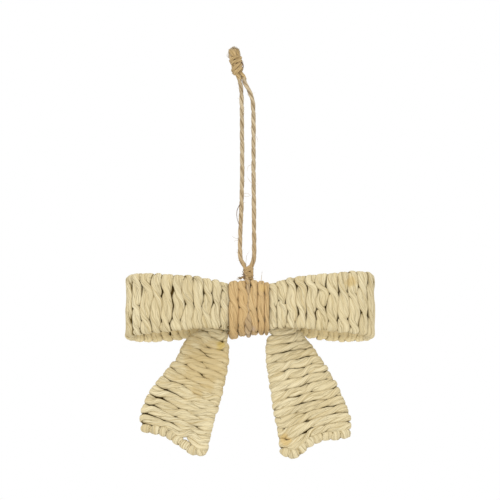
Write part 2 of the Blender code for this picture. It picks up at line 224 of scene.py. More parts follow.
def one_ply(tree, given, number):
    """One ply: a cylinder whose rings are laid along the path, on its own side of the rope."""
    path = given["Geometry"]
    points = add_node(tree, "GeometryNodeAttributeDomainSize", path, output="Point Count", component="MESH")
    segments = points - 1
    tube = add_node(
        tree, "GeometryNodeMeshCylinder", fill_type="NGON",
        named={"Vertices": given["Points round"], "Side Segments": segments, "Radius": 1, "Depth": 1},
    )
    position = add_node(tree, "GeometryNodeInputPosition")
    x, y, z = position.parts()
    index = ((z + 0.5) * segments).math("ROUND")
    around = y.math("ARCTAN2", x)
    centre, forward, outward = (
        on_path(path, "FLOAT_VECTOR", value, index) for value in (position, "forward", "outward")
    )
    names = ("twist", "room", "along", "bare")
    twist, room, along, bare = (on_path(path, "FLOAT", name, index) for name in names)
    aside = outward.vector("CROSS_PRODUCT", forward).vector("NORMALIZE")
    out = forward.vector("CROSS_PRODUCT", aside).vector("NORMALIZE")
    # Creases run along the ply with a slight slant, and the ply is never quite even
    lengthwise = along * CREASE_PER_METRE + (given["Seed"] + number * CREASE_SHIFT)
    crease_noise = wrapped_noise(around + along * CREASE_SLANT, CREASE_FINENESS, lengthwise, 1.5)
    uneven = noise(joined(along * SWELLS_PER_METRE, given["Seed"] + number * SWELLING_SHIFT, 0), 1, 1)
    fullness = (crease_noise - 0.5) * (given["Crease depth"] * 2) + 1 + (uneven - 0.5) * SWELLING
    # Wide and thin where the plies lie side by side, narrow and thick where one lies on the other
    phase = twist + number * math.pi
    beside, stacked = phase.math("COSINE"), phase.math("SINE")
    half_width = given["Half width"] * (abs(stacked) ** 2 * given["Widening"] + 1) * (fullness * room)
    half_thick = given["Half thickness"] * fullness * (abs(beside) ** 2 * given["Thickening"] + 1)
    across = squared(around.math("COSINE"), given["Squareness"])
    upwards = squared(around.math("SINE"), given["Squareness"])
    shift_aside = given["Spread"] * room * beside + half_width * across
    # Towards its borders the rope falls away, so each turn stands out as a round one
    whole = (given["Spread"] + given["Half width"]) * room
    border = abs(shift_aside.math("DIVIDE", whole)) ** 2
    shift_out = given["Stack"] * stacked + (half_thick * upwards - border * given["Crown"])
    shift = aside.scaled(shift_aside).vector("ADD", out.scaled(shift_out))
    # A bare flank at a winding's end counts as facing out, so painted flank shade leaves it as pale as the rest
    facing = around.math("SINE").math("MAXIMUM", bare * 2 - 1)
    # How far round a ply faces away from the other ply; the twine's finish paints shade in the groove by it
    outside = (around - phase).math("COSINE")
    turned_uv = Value(tree, tube.socket.node.outputs["UV Map"]).parts()[0]
    mesh = tube
    for kind, domain, name, value in (
        ("FLOAT2", "CORNER", "rope_uv", joined(along, turned_uv, 0)), ("FLOAT", "POINT", "facing", facing),
        ("FLOAT", "POINT", "outside", outside), ("FLOAT", "POINT", "ply", given["Seed"] + number),
    ):
        named = {"Geometry": mesh, "Name": name, "Value": value}
        mesh = add_node(tree, "GeometryNodeStoreNamedAttribute", named=named, data_type=kind, domain=domain)
    named = {"Geometry": mesh, "Position": centre.vector("ADD", shift)}
    return add_node(tree, "GeometryNodeSetPosition", named=named)


def finish_tree(tree, given, pieces):
    """Join the pieces, make them real and smooth, and give them their finish."""
    join = tree.nodes.new("GeometryNodeJoinGeometry")
    for piece in pieces:
        feed(piece, join.inputs[0])
    real = add_node(tree, "GeometryNodeRealizeInstances", Value(tree, join.outputs[0]))
    smooth = add_node(tree, "GeometryNodeSetShadeSmooth", real)
    finish = add_node(tree, "GeometryNodeSetMaterial", named={"Geometry": smooth, "Material": given["Finish"]})
    feed(finish, tree.nodes.new("NodeGroupOutput").inputs[0])


rope_tree, rope_given = new_tree("two_ply_rope", ROPE_INPUTS)
finish_tree(rope_tree, rope_given, [one_ply(rope_tree, rope_given, number) for number in (0, 1)])
print("rope tree nodes:", len(rope_tree.nodes))

# %% [markdown]
# ## From a path to a piece
# A path object is only a chain of vertices with attributes. The modifier turns it into rope, the
# evaluated result is copied to a plain mesh, and the path is thrown away, so each finished piece
# is an ordinary mesh at the origin.

# %% Path to mesh
def path_object(name, points, attributes, chains=None):
    """A chain of vertices, or several, with attributes on its points."""
    mesh = bpy.data.meshes.new(name)
    edges, first = [], 0
    for length in chains or [len(points)]:
        edges += [(first + step, first + step + 1) for step in range(length - 1)]
        first += length
    mesh.from_pydata([tuple(point) for point in points], edges, [])
    for label, values in attributes.items():
        values = np.asarray(values, dtype=float)
        kind, field = ("FLOAT_VECTOR", "vector") if values.ndim == 2 else ("FLOAT", "value")
        mesh.attributes.new(label, kind, "POINT").data.foreach_set(field, values.ravel())
    return in_scene(name, mesh)


def grow(name, path, tree, inputs):
    """Runs the tree on the path and keeps the result as a plain mesh."""
    modifier = path.modifiers.new("grow", "NODES")
    modifier.node_group = tree
    for socket in tree.interface.items_tree:
        if socket.in_out == "INPUT" and socket.name in inputs:
            modifier[socket.identifier] = inputs[socket.name]
    graph = bpy.context.evaluated_depsgraph_get()
    grown = path.evaluated_get(graph)
    mesh = bpy.data.meshes.new_from_object(grown, preserve_all_data_layers=True, depsgraph=graph)
    path_mesh = path.data
    bpy.data.objects.remove(path)
    bpy.data.meshes.remove(path_mesh)
    mesh.name = name
    print(f"{name}: {sum(len(face.vertices) - 2 for face in mesh.polygons)} triangles")
    return in_scene(name, mesh)


# A ply of the paper rope, and of the twine, in metres
PAPER_ROPE = {
    "Points round": 14, "Spread": 0.00115, "Stack": 0.00034, "Half width": 0.00142, "Half thickness": 0.00098,
    "Widening": 0.20, "Thickening": 0.0, "Squareness": 0.72, "Crease depth": 0.15, "Crown": 0.00045,
}
TWINE = {
    "Points round": 12, "Spread": 0.00036, "Stack": 0.00036, "Half width": 0.00076, "Half thickness": 0.00076,
    "Widening": 0.24, "Thickening": 0.24, "Squareness": 0.95, "Crease depth": 0.30, "Crown": 0.0,
}

# %% [markdown]
# ## Paper finish
# Paper rope is a strip of kraft or straw paper twisted hard, so its colour changes slowly along
# each turn and fine creases run along the plies. The furrows between turns are given painted
# shade, dark olive brown. The finish reads the rope's own UV map: u is metres along the rope and
# v goes once round a ply. Round the ply the pattern is wrapped on a circle, so no seam shows.

# %% Paper finish
def ply_place(tree, slant):
    """Metres along the rope, the angle round the ply turned with it, and the ply's own number."""
    u, v, _ = add_node(tree, "ShaderNodeUVMap", uv_map="rope_uv").parts()
    return u, v * (2 * math.pi) + u * slant, stored(tree, "ply")


def stored(tree, name):
    return add_node(tree, "ShaderNodeAttribute", output="Fac", attribute_name=name)


PLY_SHIFT = 17.3


def streaks(on_ply, fineness, per_metre, detail, shift):
    """Noise stretched along the ply and wrapped round it."""
    along, angle, ply = on_ply
    return wrapped_noise(angle, fineness, along * per_metre + (ply * PLY_SHIFT + shift), detail)


def mixed(share, first, second):
    """Mix two colours, given as values or as red, green and blue."""
    node = share.tree.nodes.new("ShaderNodeMix")
    node.data_type = "RGBA"
    for value, socket in ((share, node.inputs[0]), (first, node.inputs[6]), (second, node.inputs[7])):
        feed((*value, 1) if isinstance(value, tuple) else value, socket)
    return Value(share.tree, node.outputs[2])


def start_finish(name, roughness, sheen):
    """A new material with its constants set on the shader's own sockets."""
    material = bpy.data.materials.new(name)
    material.use_nodes = True
    shader = material.node_tree.nodes["Principled BSDF"]
    constants = {
        "Roughness": roughness, "Specular IOR Level": 0.08, "Sheen Weight": sheen, "Sheen Roughness": 0.6,
    }
    for label, value in constants.items():
        shader.inputs[label].default_value = value
    return material, material.node_tree, shader


def raise_relief(shader, height, strength, distance):
    """Bumps the surface by this height."""
    named = {"Strength": strength, "Distance": distance, "Height": height}
    feed(add_node(height.tree, "ShaderNodeBump", named=named), shader.inputs["Normal"])


def paper_finish(name, pale, middle, deep, crease_and_shade_tone, painted_inner_tone, stains_and_shade):
    """Twisted paper in three tones, with creases, painted shade in its furrows, painted light inside the loops,
    and spots of stain and painted shade.
    """
    material, tree, shader = start_finish(name, 0.85, 0.04)
    on_ply = ply_place(tree, CREASE_SLANT)
    along, _, ply = on_ply
    place = add_node(tree, "ShaderNodeTexCoord", output="Object")
    named = {"W": along * 22 + ply * 5.1, "Scale": 1, "Detail": 2}
    turn_tone = add_node(tree, "ShaderNodeTexNoise", named=named, noise_dimensions="1D")
    mottle = noise(place, 170, 3)
    wide_streaks = streaks(on_ply, 2.2, 34, 2, 3.1)
    fine_streaks = streaks(on_ply, 7.5, 90, 3, 11.9)
    crease = abs(streaks(on_ply, 2.4, 46, 1, 23.0) - 0.5).eased(0.0, 0.026, 1, 0)
    colour = mixed(turn_tone.eased(0.3, 0.7), pale, middle)
    colour = mixed(wide_streaks.eased(0.42, 0.72, 0, 0.75), colour, deep)
    colour = mixed(mottle.eased(0.5, 0.75, 0, 0.5), colour, middle)
    colour = mixed(fine_streaks.eased(0.3, 0.6, 0.26, 0), colour, crease_and_shade_tone)
    colour = mixed(crease * 0.5, colour, crease_and_shade_tone)
    # Spots of stain, and one patch of painted shadow on the left tail
    for centre, radius, tone, strength in stains_and_shade:
        reach = place.vector("DISTANCE", centre) + (mottle - 0.5) * (radius * 1.6)
        colour = mixed(reach.eased(radius * 0.4, radius, strength, 0), colour, tone)
    # Painted light: inside the loops the rear bands' inner faces get a lighter, yellower tone on the cream paper
    behind = place.parts()[1].eased(0.002, 0.007)
    inward = add_node(tree, "ShaderNodeNewGeometry", output="Normal").parts()[1].eased(-0.45, 0.15, 0.7, 0)
    colour = mixed(behind * inward, colour, painted_inner_tone)
    # Painted shade darkens the plies' flanks that face into the furrows. Where a turn is pressed
    # hard on the next the gap between them closes, so the dark dashes come and go
    patches = noise(place, 150, 1)
    flank = stored(tree, "facing") - patches.eased(0.50, 0.60, 0, 0.26)
    colour = mixed(flank.eased(-0.2, 0.64, 1, 0) * patches.eased(0.40, 0.56, 0.55, 1), colour, crease_and_shade_tone)
    feed(colour, shader.inputs["Base Color"])
    raise_relief(shader, crease * -0.7 + (fine_streaks * 0.7 + wide_streaks * 0.8), 0.55, 0.00035)
    return material


# A stain, or a patch of painted shadow, is its place, its radius, its tone and how strong it is
CREAM_STAINS_AND_SHADE = (
    # The first, large and faint, is painted shadow of the front band on the top of the left tail
    ((-0.0190, -0.0025, -0.1440), 0.0200, (0.52, 0.385, 0.17), 0.6),
    ((-0.0114, -0.0025, -0.1334), 0.0034, (0.55, 0.39, 0.08), 0.7),
    ((0.0197, -0.0030, -0.1805), 0.0036, (0.60, 0.41, 0.14), 0.65),
    ((0.0530, -0.0120, -0.1030), 0.0042, (0.52, 0.36, 0.12), 0.6),
    ((-0.0020, -0.0040, -0.1420), 0.0030, (0.55, 0.42, 0.16), 0.4),
)
TAN_STAINS = (
    ((0.0034, -0.0080, -0.1285), 0.0042, (0.52, 0.39, 0.30), 0.7),
    ((0.0088, -0.0080, -0.1053), 0.0024, (0.65, 0.46, 0.18), 0.6),
)
# For each paper the fourth tone is for creases and painted shade in the furrows, the fifth is painted light on
# the loops' inner faces
cream_paper = paper_finish(
    "cream_paper", (0.750, 0.655, 0.425), (0.665, 0.562, 0.338), (0.53, 0.410, 0.200), (0.115, 0.068, 0.004),
    (0.84, 0.70, 0.40), CREAM_STAINS_AND_SHADE,
)
tan_paper = paper_finish(
    "tan_paper", (0.67, 0.485, 0.245), (0.60, 0.415, 0.196), (0.46, 0.29, 0.117), (0.12, 0.062, 0.010),
    (0.60, 0.42, 0.20), TAN_STAINS,
)
print("finishes:", cream_paper.name, tan_paper.name)

# %% [markdown]
# ## Jute and the plain finishes
# Jute is a bundle of long, coarse fibres, greyish tan with paler and darker strands, and its
# colour changes from fibre to fibre and hardly along them. Very stretched streaks give that. The
# strips inside the bands and the loose fibres are so small that a speckle in two tones will do.

# %% Jute, strip and fibre finishes
JUTE_SLANT = 420
BROWNED = (0.44, 0.29, 0.135)


def jute_finish(name, pale, middle, dark):
    material, tree, shader = start_finish(name, 0.85, 0.15)
    on_ply = ply_place(tree, JUTE_SLANT)
    fibres = streaks(on_ply, 5.0, 240, 3, 1.7)
    strands = streaks(on_ply, 1.8, 60, 2, 8.4)
    colour = mixed(strands.eased(0.35, 0.65), pale, middle)
    colour = mixed(fibres.eased(0.48, 0.72, 0, 0.85), colour, dark)
    # Handling has browned the lower end
    up = add_node(tree, "ShaderNodeTexCoord", output="Object").parts()[2]
    colour = mixed(up.eased(-0.095, -0.035, 0.55, 0), colour, BROWNED)
    # Painted shade darkens the groove between the two plies
    colour = mixed(stored(tree, "outside").eased(-0.75, 0.25, 0.9, 0), colour, dark)
    feed(colour, shader.inputs["Base Color"])
    raise_relief(shader, fibres * 0.6 + strands * 0.8, 0.7, 0.0003)
    return material


def speckled_finish(name, first, second, scale=700, roughness=0.7, sheen=0.2):
    material, tree, shader = start_finish(name, roughness, sheen)
    tone = noise(add_node(tree, "ShaderNodeTexCoord", output="Object"), scale, 2)
    feed(mixed(tone.eased(0.35, 0.65), first, second), shader.inputs["Base Color"])
    return material


# The third tone is for dark fibres and for the painted shade in the groove between the plies
jute = jute_finish("jute", (0.60, 0.49, 0.315), (0.38, 0.285, 0.160), (0.15, 0.085, 0.030))
brown_jute = jute_finish("brown_jute", (0.58, 0.415, 0.200), (0.40, 0.280, 0.120), (0.17, 0.10, 0.035))
# The strips' near-black brown is painted shade, seen through the gaps between turns
shade_brown_strip = speckled_finish("shade_brown_strip", (0.110, 0.060, 0.010), (0.065, 0.035, 0.006), 260, 0.9, 0)
pale_fibre = speckled_finish("pale_fibre", (0.56, 0.44, 0.28), (0.38, 0.28, 0.17))
brown_fibre = speckled_finish("brown_fibre", (0.50, 0.39, 0.22), (0.32, 0.235, 0.12))
dark_fibre = speckled_finish("dark_fibre", (0.24, 0.15, 0.09), (0.14, 0.09, 0.06))
small_finishes = (jute, brown_jute, shade_brown_strip, pale_fibre, brown_fibre, dark_fibre)
print("finishes:", [finish.name for finish in small_finishes])

# %% [markdown]
# ## The hanger's two strands
# The twine loop hangs from a hook by its top knot. Each strand is a cord: it has a real length
# and diameter, and its two plies make one turn round each other every 12 mm. The points are the
# route of the measured model, from the lower knot up to the top one.

# %% Smooth routes and twine
MM = 0.001
BOW_MIDDLE = Vector((0.0025, 0, -0.1150))
MIDDLE_POINT = np.array(BOW_MIDDLE)
TWINE_DIAMETER = 0.0022
TWINE_TWIST = 0.0125
TWINE_STEP = 0.0004
TOUCH_GAP = 0.0003


def smooth_route(points, count):
    """Evenly numbered points on a smooth curve through the given ones."""
    points = np.asarray(points, dtype=float)
    ends = np.vstack([2 * points[0] - points[1], points, 2 * points[-1] - points[-2]])
    place = np.linspace(0, len(points) - 1, count)
    span = np.minimum(place.astype(int), len(points) - 2)
    t = (place - span)[:, None]
    a, b, c, d = (ends[span + step] for step in range(4))
    bend, change = 2 * a - 5 * b + 4 * c - d, 3 * b - a - 3 * c + d
    return (2 * b + (c - a) * t + bend * t**2 + change * t**3) / 2


def distances(points):
    """How far along a chain of points each of them lies."""
    return np.concatenate([[0], np.cumsum(np.linalg.norm(np.diff(points, axis=0), axis=1))])


def directions(points):
    """The way forward at each point of a chain."""
    forward = np.gradient(points, axis=0)
    return forward / np.linalg.norm(forward, axis=1)[:, None]


def between(place, far, rows):
    """The rows at these places, when the given rows lie at the distances far."""
    return np.stack([np.interp(place, far, column) for column in rows.T], axis=1)


def twine_piece(name, route, twist_length, seed, scale=1.0, start=0.0, room=None, finish=jute):
    """Two-ply twine along a smooth route, wider where its room says so."""
    far = distances(route)
    even = np.linspace(0, far[-1], max(int(far[-1] / TWINE_STEP), 8))
    points = between(even, far, route)
    forward = directions(points)
    # Any steady direction across the twine will do as its way out
    outward = np.tile([0.05, -1.0, 0.02], (len(even), 1))
    outward -= forward * np.sum(outward * forward, axis=1)[:, None]
    twist = start - 2 * math.pi * even / twist_length
    attributes = {
        "forward": forward, "outward": outward, "twist": twist, "along": even,
        "room": np.ones(len(even)) if room is None else np.interp(even, far, room),
    }
    sizes = {key: TWINE[key] * scale for key in ("Spread", "Stack", "Half width", "Half thickness")}
    inputs = {**TWINE, **sizes, "Seed": seed, "Finish": finish}
    return grow(name, path_object(name, points, attributes), rope_tree, inputs)


LEFT_STRAND = (
    (-1.7, -0.8, -89.4), (-2.1, -0.6, -83.5), (-1.9, -0.4, -74.2), (-1.4, -0.2, -60.8), (-1.1, 0, -46.6),
    (-1.1, 0, -32.4), (-1.2, 0, -16.0), (-1.4, 0, -4.0), (-1.8, 0, 1.6),
)
RIGHT_STRAND = (
    (4.6, -0.8, -90.2), (5.0, -0.6, -86.0), (4.9, -0.4, -74.2), (4.9, -0.2, -60.8), (4.7, 0, -47.0),
    (4.7, 0, -34.0), (4.7, 0, -21.5), (4.6, 0, -11.0), (4.0, 0, -5.5), (2.5, 0, -1.0),
)
LOWER_KNOT = Vector((0.00205, -0.0008, -0.0965))
LOWER_KNOT_SIZE = (0.0056, 0.0052, 0.0084)
TOP_KNOT_FLOOR = 0.0062


def strand_route(points, head_x):
    """From just above the lower knot to just below the top knot."""
    points = np.array(points) * MM
    towards = (Vector(points[0]) - LOWER_KNOT).normalized()
    across = math.sqrt(sum((2 * towards[axis] / LOWER_KNOT_SIZE[axis]) ** 2 for axis in range(3)))
    foot = LOWER_KNOT + towards * (1 / across + TOUCH_GAP)
    head = (head_x, 0, TOP_KNOT_FLOOR - TOUCH_GAP)
    return smooth_route([tuple(foot), *points, (head_x, 0, head[2] - TWINE_DIAMETER), head], 240)


left_route, right_route = strand_route(LEFT_STRAND, -0.00235), strand_route(RIGHT_STRAND, 0.00015)
left_strand = twine_piece("left_hanging_strand", left_route, TWINE_TWIST, 1.3)
right_strand = twine_piece("right_hanging_strand", right_route, TWINE_TWIST, 4.9, start=1.1)
print("strand lengths in mm:", [round(distances(route)[-1] * 1000, 1) for route in (left_route, right_route)])

# %% [markdown]
# ## How a rope is wound
# A winder passes the rope up over the shown face, over the edge, down the other face and round
# again, and moves on by one rope's width behind, where it doesn't show. So the path's place is
# two numbers: how far round the flat core, and how far along the band.
#
# Soft rope doesn't keep equal spacing. Each turn is pressed between its neighbours, and where
# one swells the next gives way. A few hundred rounds of averaging between the neighbours do the
# same to the numbers, which makes the wavy joints of the real bow.

# %% Going round a flat core
CORNER_SIGNS = np.array([(1, 1), (-1, 1), (-1, -1), (1, -1)])


def round_the_core(sides, half_depth, half_height, corner):
    """Points round an upright core with round corners, and the way out of it there.

    Sides counts flats and corners: 0 to 1 is the shown face going up, 1 to 2 the corner after it,
    4 to 5 the hidden face going down.
    """
    quarter = (sides // 2).astype(int) % 4
    run, bend = np.clip(sides % 2, 0, 1), np.clip(sides % 2 - 1, 0, 1)
    angle = (quarter + bend) * math.pi / 2
    middle = CORNER_SIGNS[quarter - 1] * (1 - run)[:, None] + CORNER_SIGNS[quarter] * run[:, None]
    through = middle[:, 0] * (half_depth - corner) + corner * np.cos(angle)
    up = middle[:, 1] * (half_height - corner) + corner * np.sin(angle)
    return through, up, np.cos(angle), np.sin(angle)


def one_round(shown, corner, top, hidden):
    """The sides' numbers for one turn, with these many steps on each flat and corner."""
    counts = (shown, corner, top, corner, hidden, corner, top, corner)
    return np.concatenate([side + np.arange(count) / count for side, count in enumerate(counts) if count])


def eased(value, low, high):
    step = np.clip((value - low) / (high - low), 0, 1)
    return step * step * (3 - 2 * step)


def drifting(random, along, spacing, reach=1.0):
    """Random numbers up to the reach either way that change smoothly along a rope."""
    knots = max(int(along[-1] / spacing) + 3, 4)
    values = random.uniform(-1, 1, knots)
    place = np.clip(along / spacing, 0, knots - 1.001)
    span = place.astype(int)
    share = eased(place - span, 0, 1)
    return reach * (values[span] * (1 - share) + values[span + 1] * share)

# %% The winding itself
PAPER_TWIST = 0.0270
ROPE_WIDTH = 0.0048
PRESS_ROUNDS = 240
BARE_LENGTH, TUCK_LENGTH = 0.0090, 0.0060
SMALL_STEP = 0.0004
# The winding starts and ends at these sides of the core, on the hidden face
START_SIDE, END_SIDE = 4.6, 4.4
# Over what length the twist, the thickness and the level change, and how far
TWIST_DRIFT, SIZE_DRIFT, LEVEL_DRIFT = (0.024, 1.3), (0.014, 0.11), (0.006, 0.00012)
# Over what length gaps come and go and change sides, how common they are, and how wide at most
GAP_LENGTH, PULL_LENGTH, GAP_SHARE, WIDEST_GAP = 0.0044, 0.0124, 0.15, 0.55
# How much the plies linger side by side
LINGERING = 0.35


def natural_width(twist, ply):
    """How wide the rope lies there, without anything beside it."""
    across, stacked = np.abs(np.cos(twist)), np.sin(twist) ** 2
    return 2 * (ply["Spread"] * across + ply["Half width"] * (1 + ply["Widening"] * stacked))


def room_beside(course, place, sides, forward):
    """How much room a step along the band gives across the rope there."""
    ahead, behind = course(place + SMALL_STEP, sides)[0], course(place - SMALL_STEP, sides)[0]
    aside = (ahead - behind) / (2 * SMALL_STEP)
    aside -= forward * np.sum(aside * forward, axis=1)[:, None]
    return np.clip(np.linalg.norm(aside, axis=1), 0.4, 1.4)


def smoothed(rows):
    return np.concatenate([rows[:1], (rows[:-2] + 2 * rows[1:-1] + rows[2:]) / 4, rows[-1:]])


def press_together(start, width, steps, firmness):
    """Shifts every point of the rope until it lies midway between its neighbours."""
    place = start
    needed = (width[:-steps] + width[steps:]) / 2
    for _ in range(PRESS_ROUNDS):
        middle = place.copy()
        below, above = place[:-2 * steps] + needed[:-steps], place[2 * steps:] - needed[steps:]
        middle[steps:-steps] = (below + above) / 2
        place = smoothed(place + 0.6 * (middle - place))
        place = place * (1 - firmness) + start * firmness
        place[:steps], place[-steps:] = start[:steps], start[-steps:]
    return place


def wind(
    name, course, middles, widths, sides, ply, finish, seed,
    firmness=0.02, move_on=(3.1, 5.9), slant=0.0, fill=1.0, gaps=0.0, tuck_depth=0.0016,
):
    """Rope wound along a course, with one run over the shown face at each middle.

    It starts and ends on the hidden face. Move_on says between which sides it goes on to the next
    middle, and slant how many turns it slopes on the shown face. Fill is how much of its room the
    rope takes, and gaps how far it draws in here and there.
    """
    random = np.random.RandomState(seed)
    steps = len(sides)
    widths = np.concatenate([widths[:1], widths, widths[-1:]])
    middles = np.concatenate([[middles[0] - widths[0]], middles, [middles[-1] + widths[-1]]])
    rounds = len(middles) - 1
    first, last = np.argmax(sides >= START_SIDE), (rounds - 1) * steps + np.argmax(sides >= END_SIDE)
    all_sides = np.tile(sides, rounds)[first:last]
    turn = np.repeat(np.arange(rounds), steps)[first:last]
    advance = eased(all_sides, *move_on)
    start, turn_width = (row[turn] * (1 - advance) + row[turn + 1] * advance for row in (middles, widths))
    share = np.clip((start - middles[0]) / (middles[-1] - middles[0]), 0, 1)
    slope = slant * np.sin(math.pi * share ** 0.8) * turn_width
    start = start + slope * (0.5 - np.clip(all_sides, 0, 1) + advance)
    along = distances(course(start, all_sides)[0])
    phase = random.uniform(0, 2 * math.pi) - 2 * math.pi * along / PAPER_TWIST
    phase += drifting(random, along, *TWIST_DRIFT)
    phase -= LINGERING * np.sin(2 * phase)
    size = 1 + drifting(random, along, *SIZE_DRIFT)
    # Here and there a turn draws away from a neighbour, which leaves a gap as long as a lentil
    on_a_face = np.sin(math.pi * np.clip(all_sides % 4, 0, 1)) ** 0.7
    slack = gaps * on_a_face * np.clip(drifting(random, along, GAP_LENGTH) + GAP_SHARE, 0, WIDEST_GAP)
    pull = np.sign(drifting(random, along, PULL_LENGTH)) * slack * turn_width / 2
    width = natural_width(phase, ply) * size
    place = press_together(start, width * turn_width / np.mean(width), steps, firmness) + pull
    points, outward = course(place, all_sides)
    stretch = room_beside(course, place, all_sides, directions(points))
    # The rope isn't quite level, and both ends are tucked in
    from_end = np.minimum(along, along[-1] - along)
    lift = drifting(random, along, *LEVEL_DRIFT) - tuck_depth * (1 - eased(from_end, 0, TUCK_LENGTH))
    points = points + outward * lift[:, None]
    attributes = {
        "forward": directions(points), "outward": outward, "twist": phase, "along": along,
        "room": fill * (size - slack) * stretch * turn_width / ROPE_WIDTH,
        "bare": 1 - eased(from_end, BARE_LENGTH, 1.5 * BARE_LENGTH),
    }
    print(f"{name}: {rounds - 1} turns, {along[-1]:.2f} m of rope")
    inputs = {**ply, "Seed": float(seed), "Finish": finish}
    return grow(name, path_object(name, points, attributes), rope_tree, inputs)


def spaced(first, last, turns):
    """The middles and widths of equal turns."""
    middles = np.linspace(first, last, turns)
    return middles, np.full(turns, middles[1] - middles[0])

# %% [markdown]
# ## The two loops
# Each loop is a wound band that leaves the middle in front, bends round at its outer end and
# comes back behind. It widens outwards, and under the wrap it is pressed thin. The course turns a
# distance along the band's middle line and a side of the core into a point in space.

# %% Sizes of the loops
WRAP_END = 0.0099
PRESSED_BAND, BAND_THICKNESS = 0.0036, 0.0050
KNOT_HEIGHT = 0.0226
LOOP_DEPTH = 0.0280
WIDENING = 0.75
END_BLUNTNESS = 0.88
DEEPEST = math.radians(105)
OPENING_LENGTH = 0.0050
# The bands stand a little higher just beside the wrap, and this far out no longer do
BESIDE_WRAP, HIGHER_UNTIL = 0.0011, (0.020, 0.045)
# Half the rope's thickness as it lies
ROPE_LIES = 0.00125
OUTLINE_STEPS, LINE_STEPS, WAVE_STEPS = 400, 700, 60
SMOOTHINGS = 6


def loop_course(side, reach, end_height, lift):
    """The rule that places rope on one loop, and the length of the loop's band."""
    start = WRAP_END + TOUCH_GAP
    deepest = LOOP_DEPTH / 2 - BAND_THICKNESS / 2 - PRESSED_BAND * math.cos(DEEPEST / 2)
    swell = deepest / (math.sin(DEEPEST) ** END_BLUNTNESS * math.sin(DEEPEST / 2))
    turn = np.linspace(0, 2 * math.pi, OUTLINE_STEPS + 1)
    rise = np.sign(np.sin(turn)) * np.abs(np.sin(turn)) ** END_BLUNTNESS
    x = start + (reach - BAND_THICKNESS / 2 - start) * (1 - np.cos(turn)) / 2
    y = -(swell * rise * np.sin(turn / 2) + PRESSED_BAND * np.cos(turn / 2))
    x = np.concatenate([[TOUCH_GAP / 2], x, [TOUCH_GAP / 2]]) * side
    y = np.concatenate([[-PRESSED_BAND], y, [PRESSED_BAND]])
    line = np.column_stack([x, y])
    far = distances(line)
    even = np.linspace(0, far[-1], LINE_STEPS)
    line = between(even, far, line)
    for _ in range(SMOOTHINGS):
        line = smoothed(line)
    forward = directions(line)
    outer = np.column_stack([forward[:, 1] * side, -forward[:, 0] * side])

    def course(place, sides):
        middle, out = between(place, even, line), between(place, even, outer)
        beyond = np.abs(middle[:, 0])
        free = eased(beyond, start, WRAP_END + OPENING_LENGTH)
        grown = np.clip((beyond - WRAP_END) / (reach - WRAP_END), 0, 1) ** WIDENING
        half_depth = (PRESSED_BAND + (BAND_THICKNESS - PRESSED_BAND) * free) / 2 - ROPE_LIES
        height = KNOT_HEIGHT + (end_height - KNOT_HEIGHT) * grown
        through, up, out_through, out_up = round_the_core(sides, half_depth, height / 2 - ROPE_LIES, half_depth)
        rise = BESIDE_WRAP * eased(beyond, WRAP_END, WRAP_END + 0.003) * (1 - eased(beyond, *HIGHER_UNTIL))
        points = np.column_stack([middle + out * through[:, None], lift * grown + rise + up])
        return points + MIDDLE_POINT, np.column_stack([out * out_through[:, None], out_up])

    return course, far[-1]

# %% The strip inside a band
STRIP_COLUMNS = 7
STRIP_HALF = 0.00015


def inner_strip(name, course, first, last, rows):
    """A thin closed strip inside a winding, midway between its shown and hidden faces, dark brown as painted
    shade that shows in the gaps between turns.
    """
    places = np.repeat(np.linspace(first, last, rows), STRIP_COLUMNS)
    shares = np.tile(np.linspace(0.02, 0.98, STRIP_COLUMNS), rows)
    front, outward = course(places, shares)
    middle = (front + course(places, 5 - shares)[0]) / 2
    shape = (rows, STRIP_COLUMNS, 3)
    sheets = [(middle + outward * offset).reshape(shape) for offset in (STRIP_HALF, -STRIP_HALF)]
    # Each row is a ring: along the front of the strip and back behind it
    ring = 2 * STRIP_COLUMNS
    points = np.concatenate([sheets[0], sheets[1][:, ::-1]], axis=1).reshape(-1, 3)
    faces = [
        [(row + r) * ring + (column + c) % ring for r, c in ((0, 0), (0, 1), (1, 1), (1, 0))]
        for row in range(rows - 1) for column in range(ring)
    ]
    faces += [
        [end + column, end + column + 1, end + ring - 2 - column, end + ring - 1 - column]
        for end in (0, (rows - 1) * ring) for column in range(STRIP_COLUMNS - 1)
    ]
    mesh = bpy.data.meshes.new(name)
    mesh.from_pydata([tuple(point) for point in points], [], faces)
    turned = bmesh.new()
    turned.from_mesh(mesh)
    bmesh.ops.recalc_face_normals(turned, faces=turned.faces)
    turned.to_mesh(mesh)
    turned.free()
    # Painted shade for the gaps between turns
    mesh.materials.append(shade_brown_strip)
    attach(in_scene(name, mesh), "root")
    print(f"{name}: {len(faces)} faces")

# %% Wind the loops
LOOP_ROUND = one_round(26, 7, 0, 18)
for node, side, reach, end_height, lift, seed in (
    ("left_loop", -1, 0.0615, 0.0330, 0.0011, 3),
    ("right_loop", 1, 0.0625, 0.0338, 0.0017, 14),
):
    course, band_length = loop_course(side, reach, end_height, lift)
    turns = round((band_length - ROPE_WIDTH) / ROPE_WIDTH)
    winding = wind(
        f"{node}_winding", course, *spaced(ROPE_WIDTH / 2, band_length - ROPE_WIDTH / 2, turns), LOOP_ROUND,
        PAPER_ROPE, cream_paper, seed, fill=1.04, gaps=0.21,
    )
    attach(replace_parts(winding, node), "root")
    inner_strip(f"{node}_strip", course, ROPE_WIDTH, band_length - ROPE_WIDTH, 90)

# %% [markdown]
# ## The two tails
# A tail hangs from between the loop's bands, widens downwards and ends in a wavy edge. Two rows
# of matching points give its edges: outwards from the bow's middle, and down from it. A turn runs
# from a point of the inner edge to the matching point of the outer one.

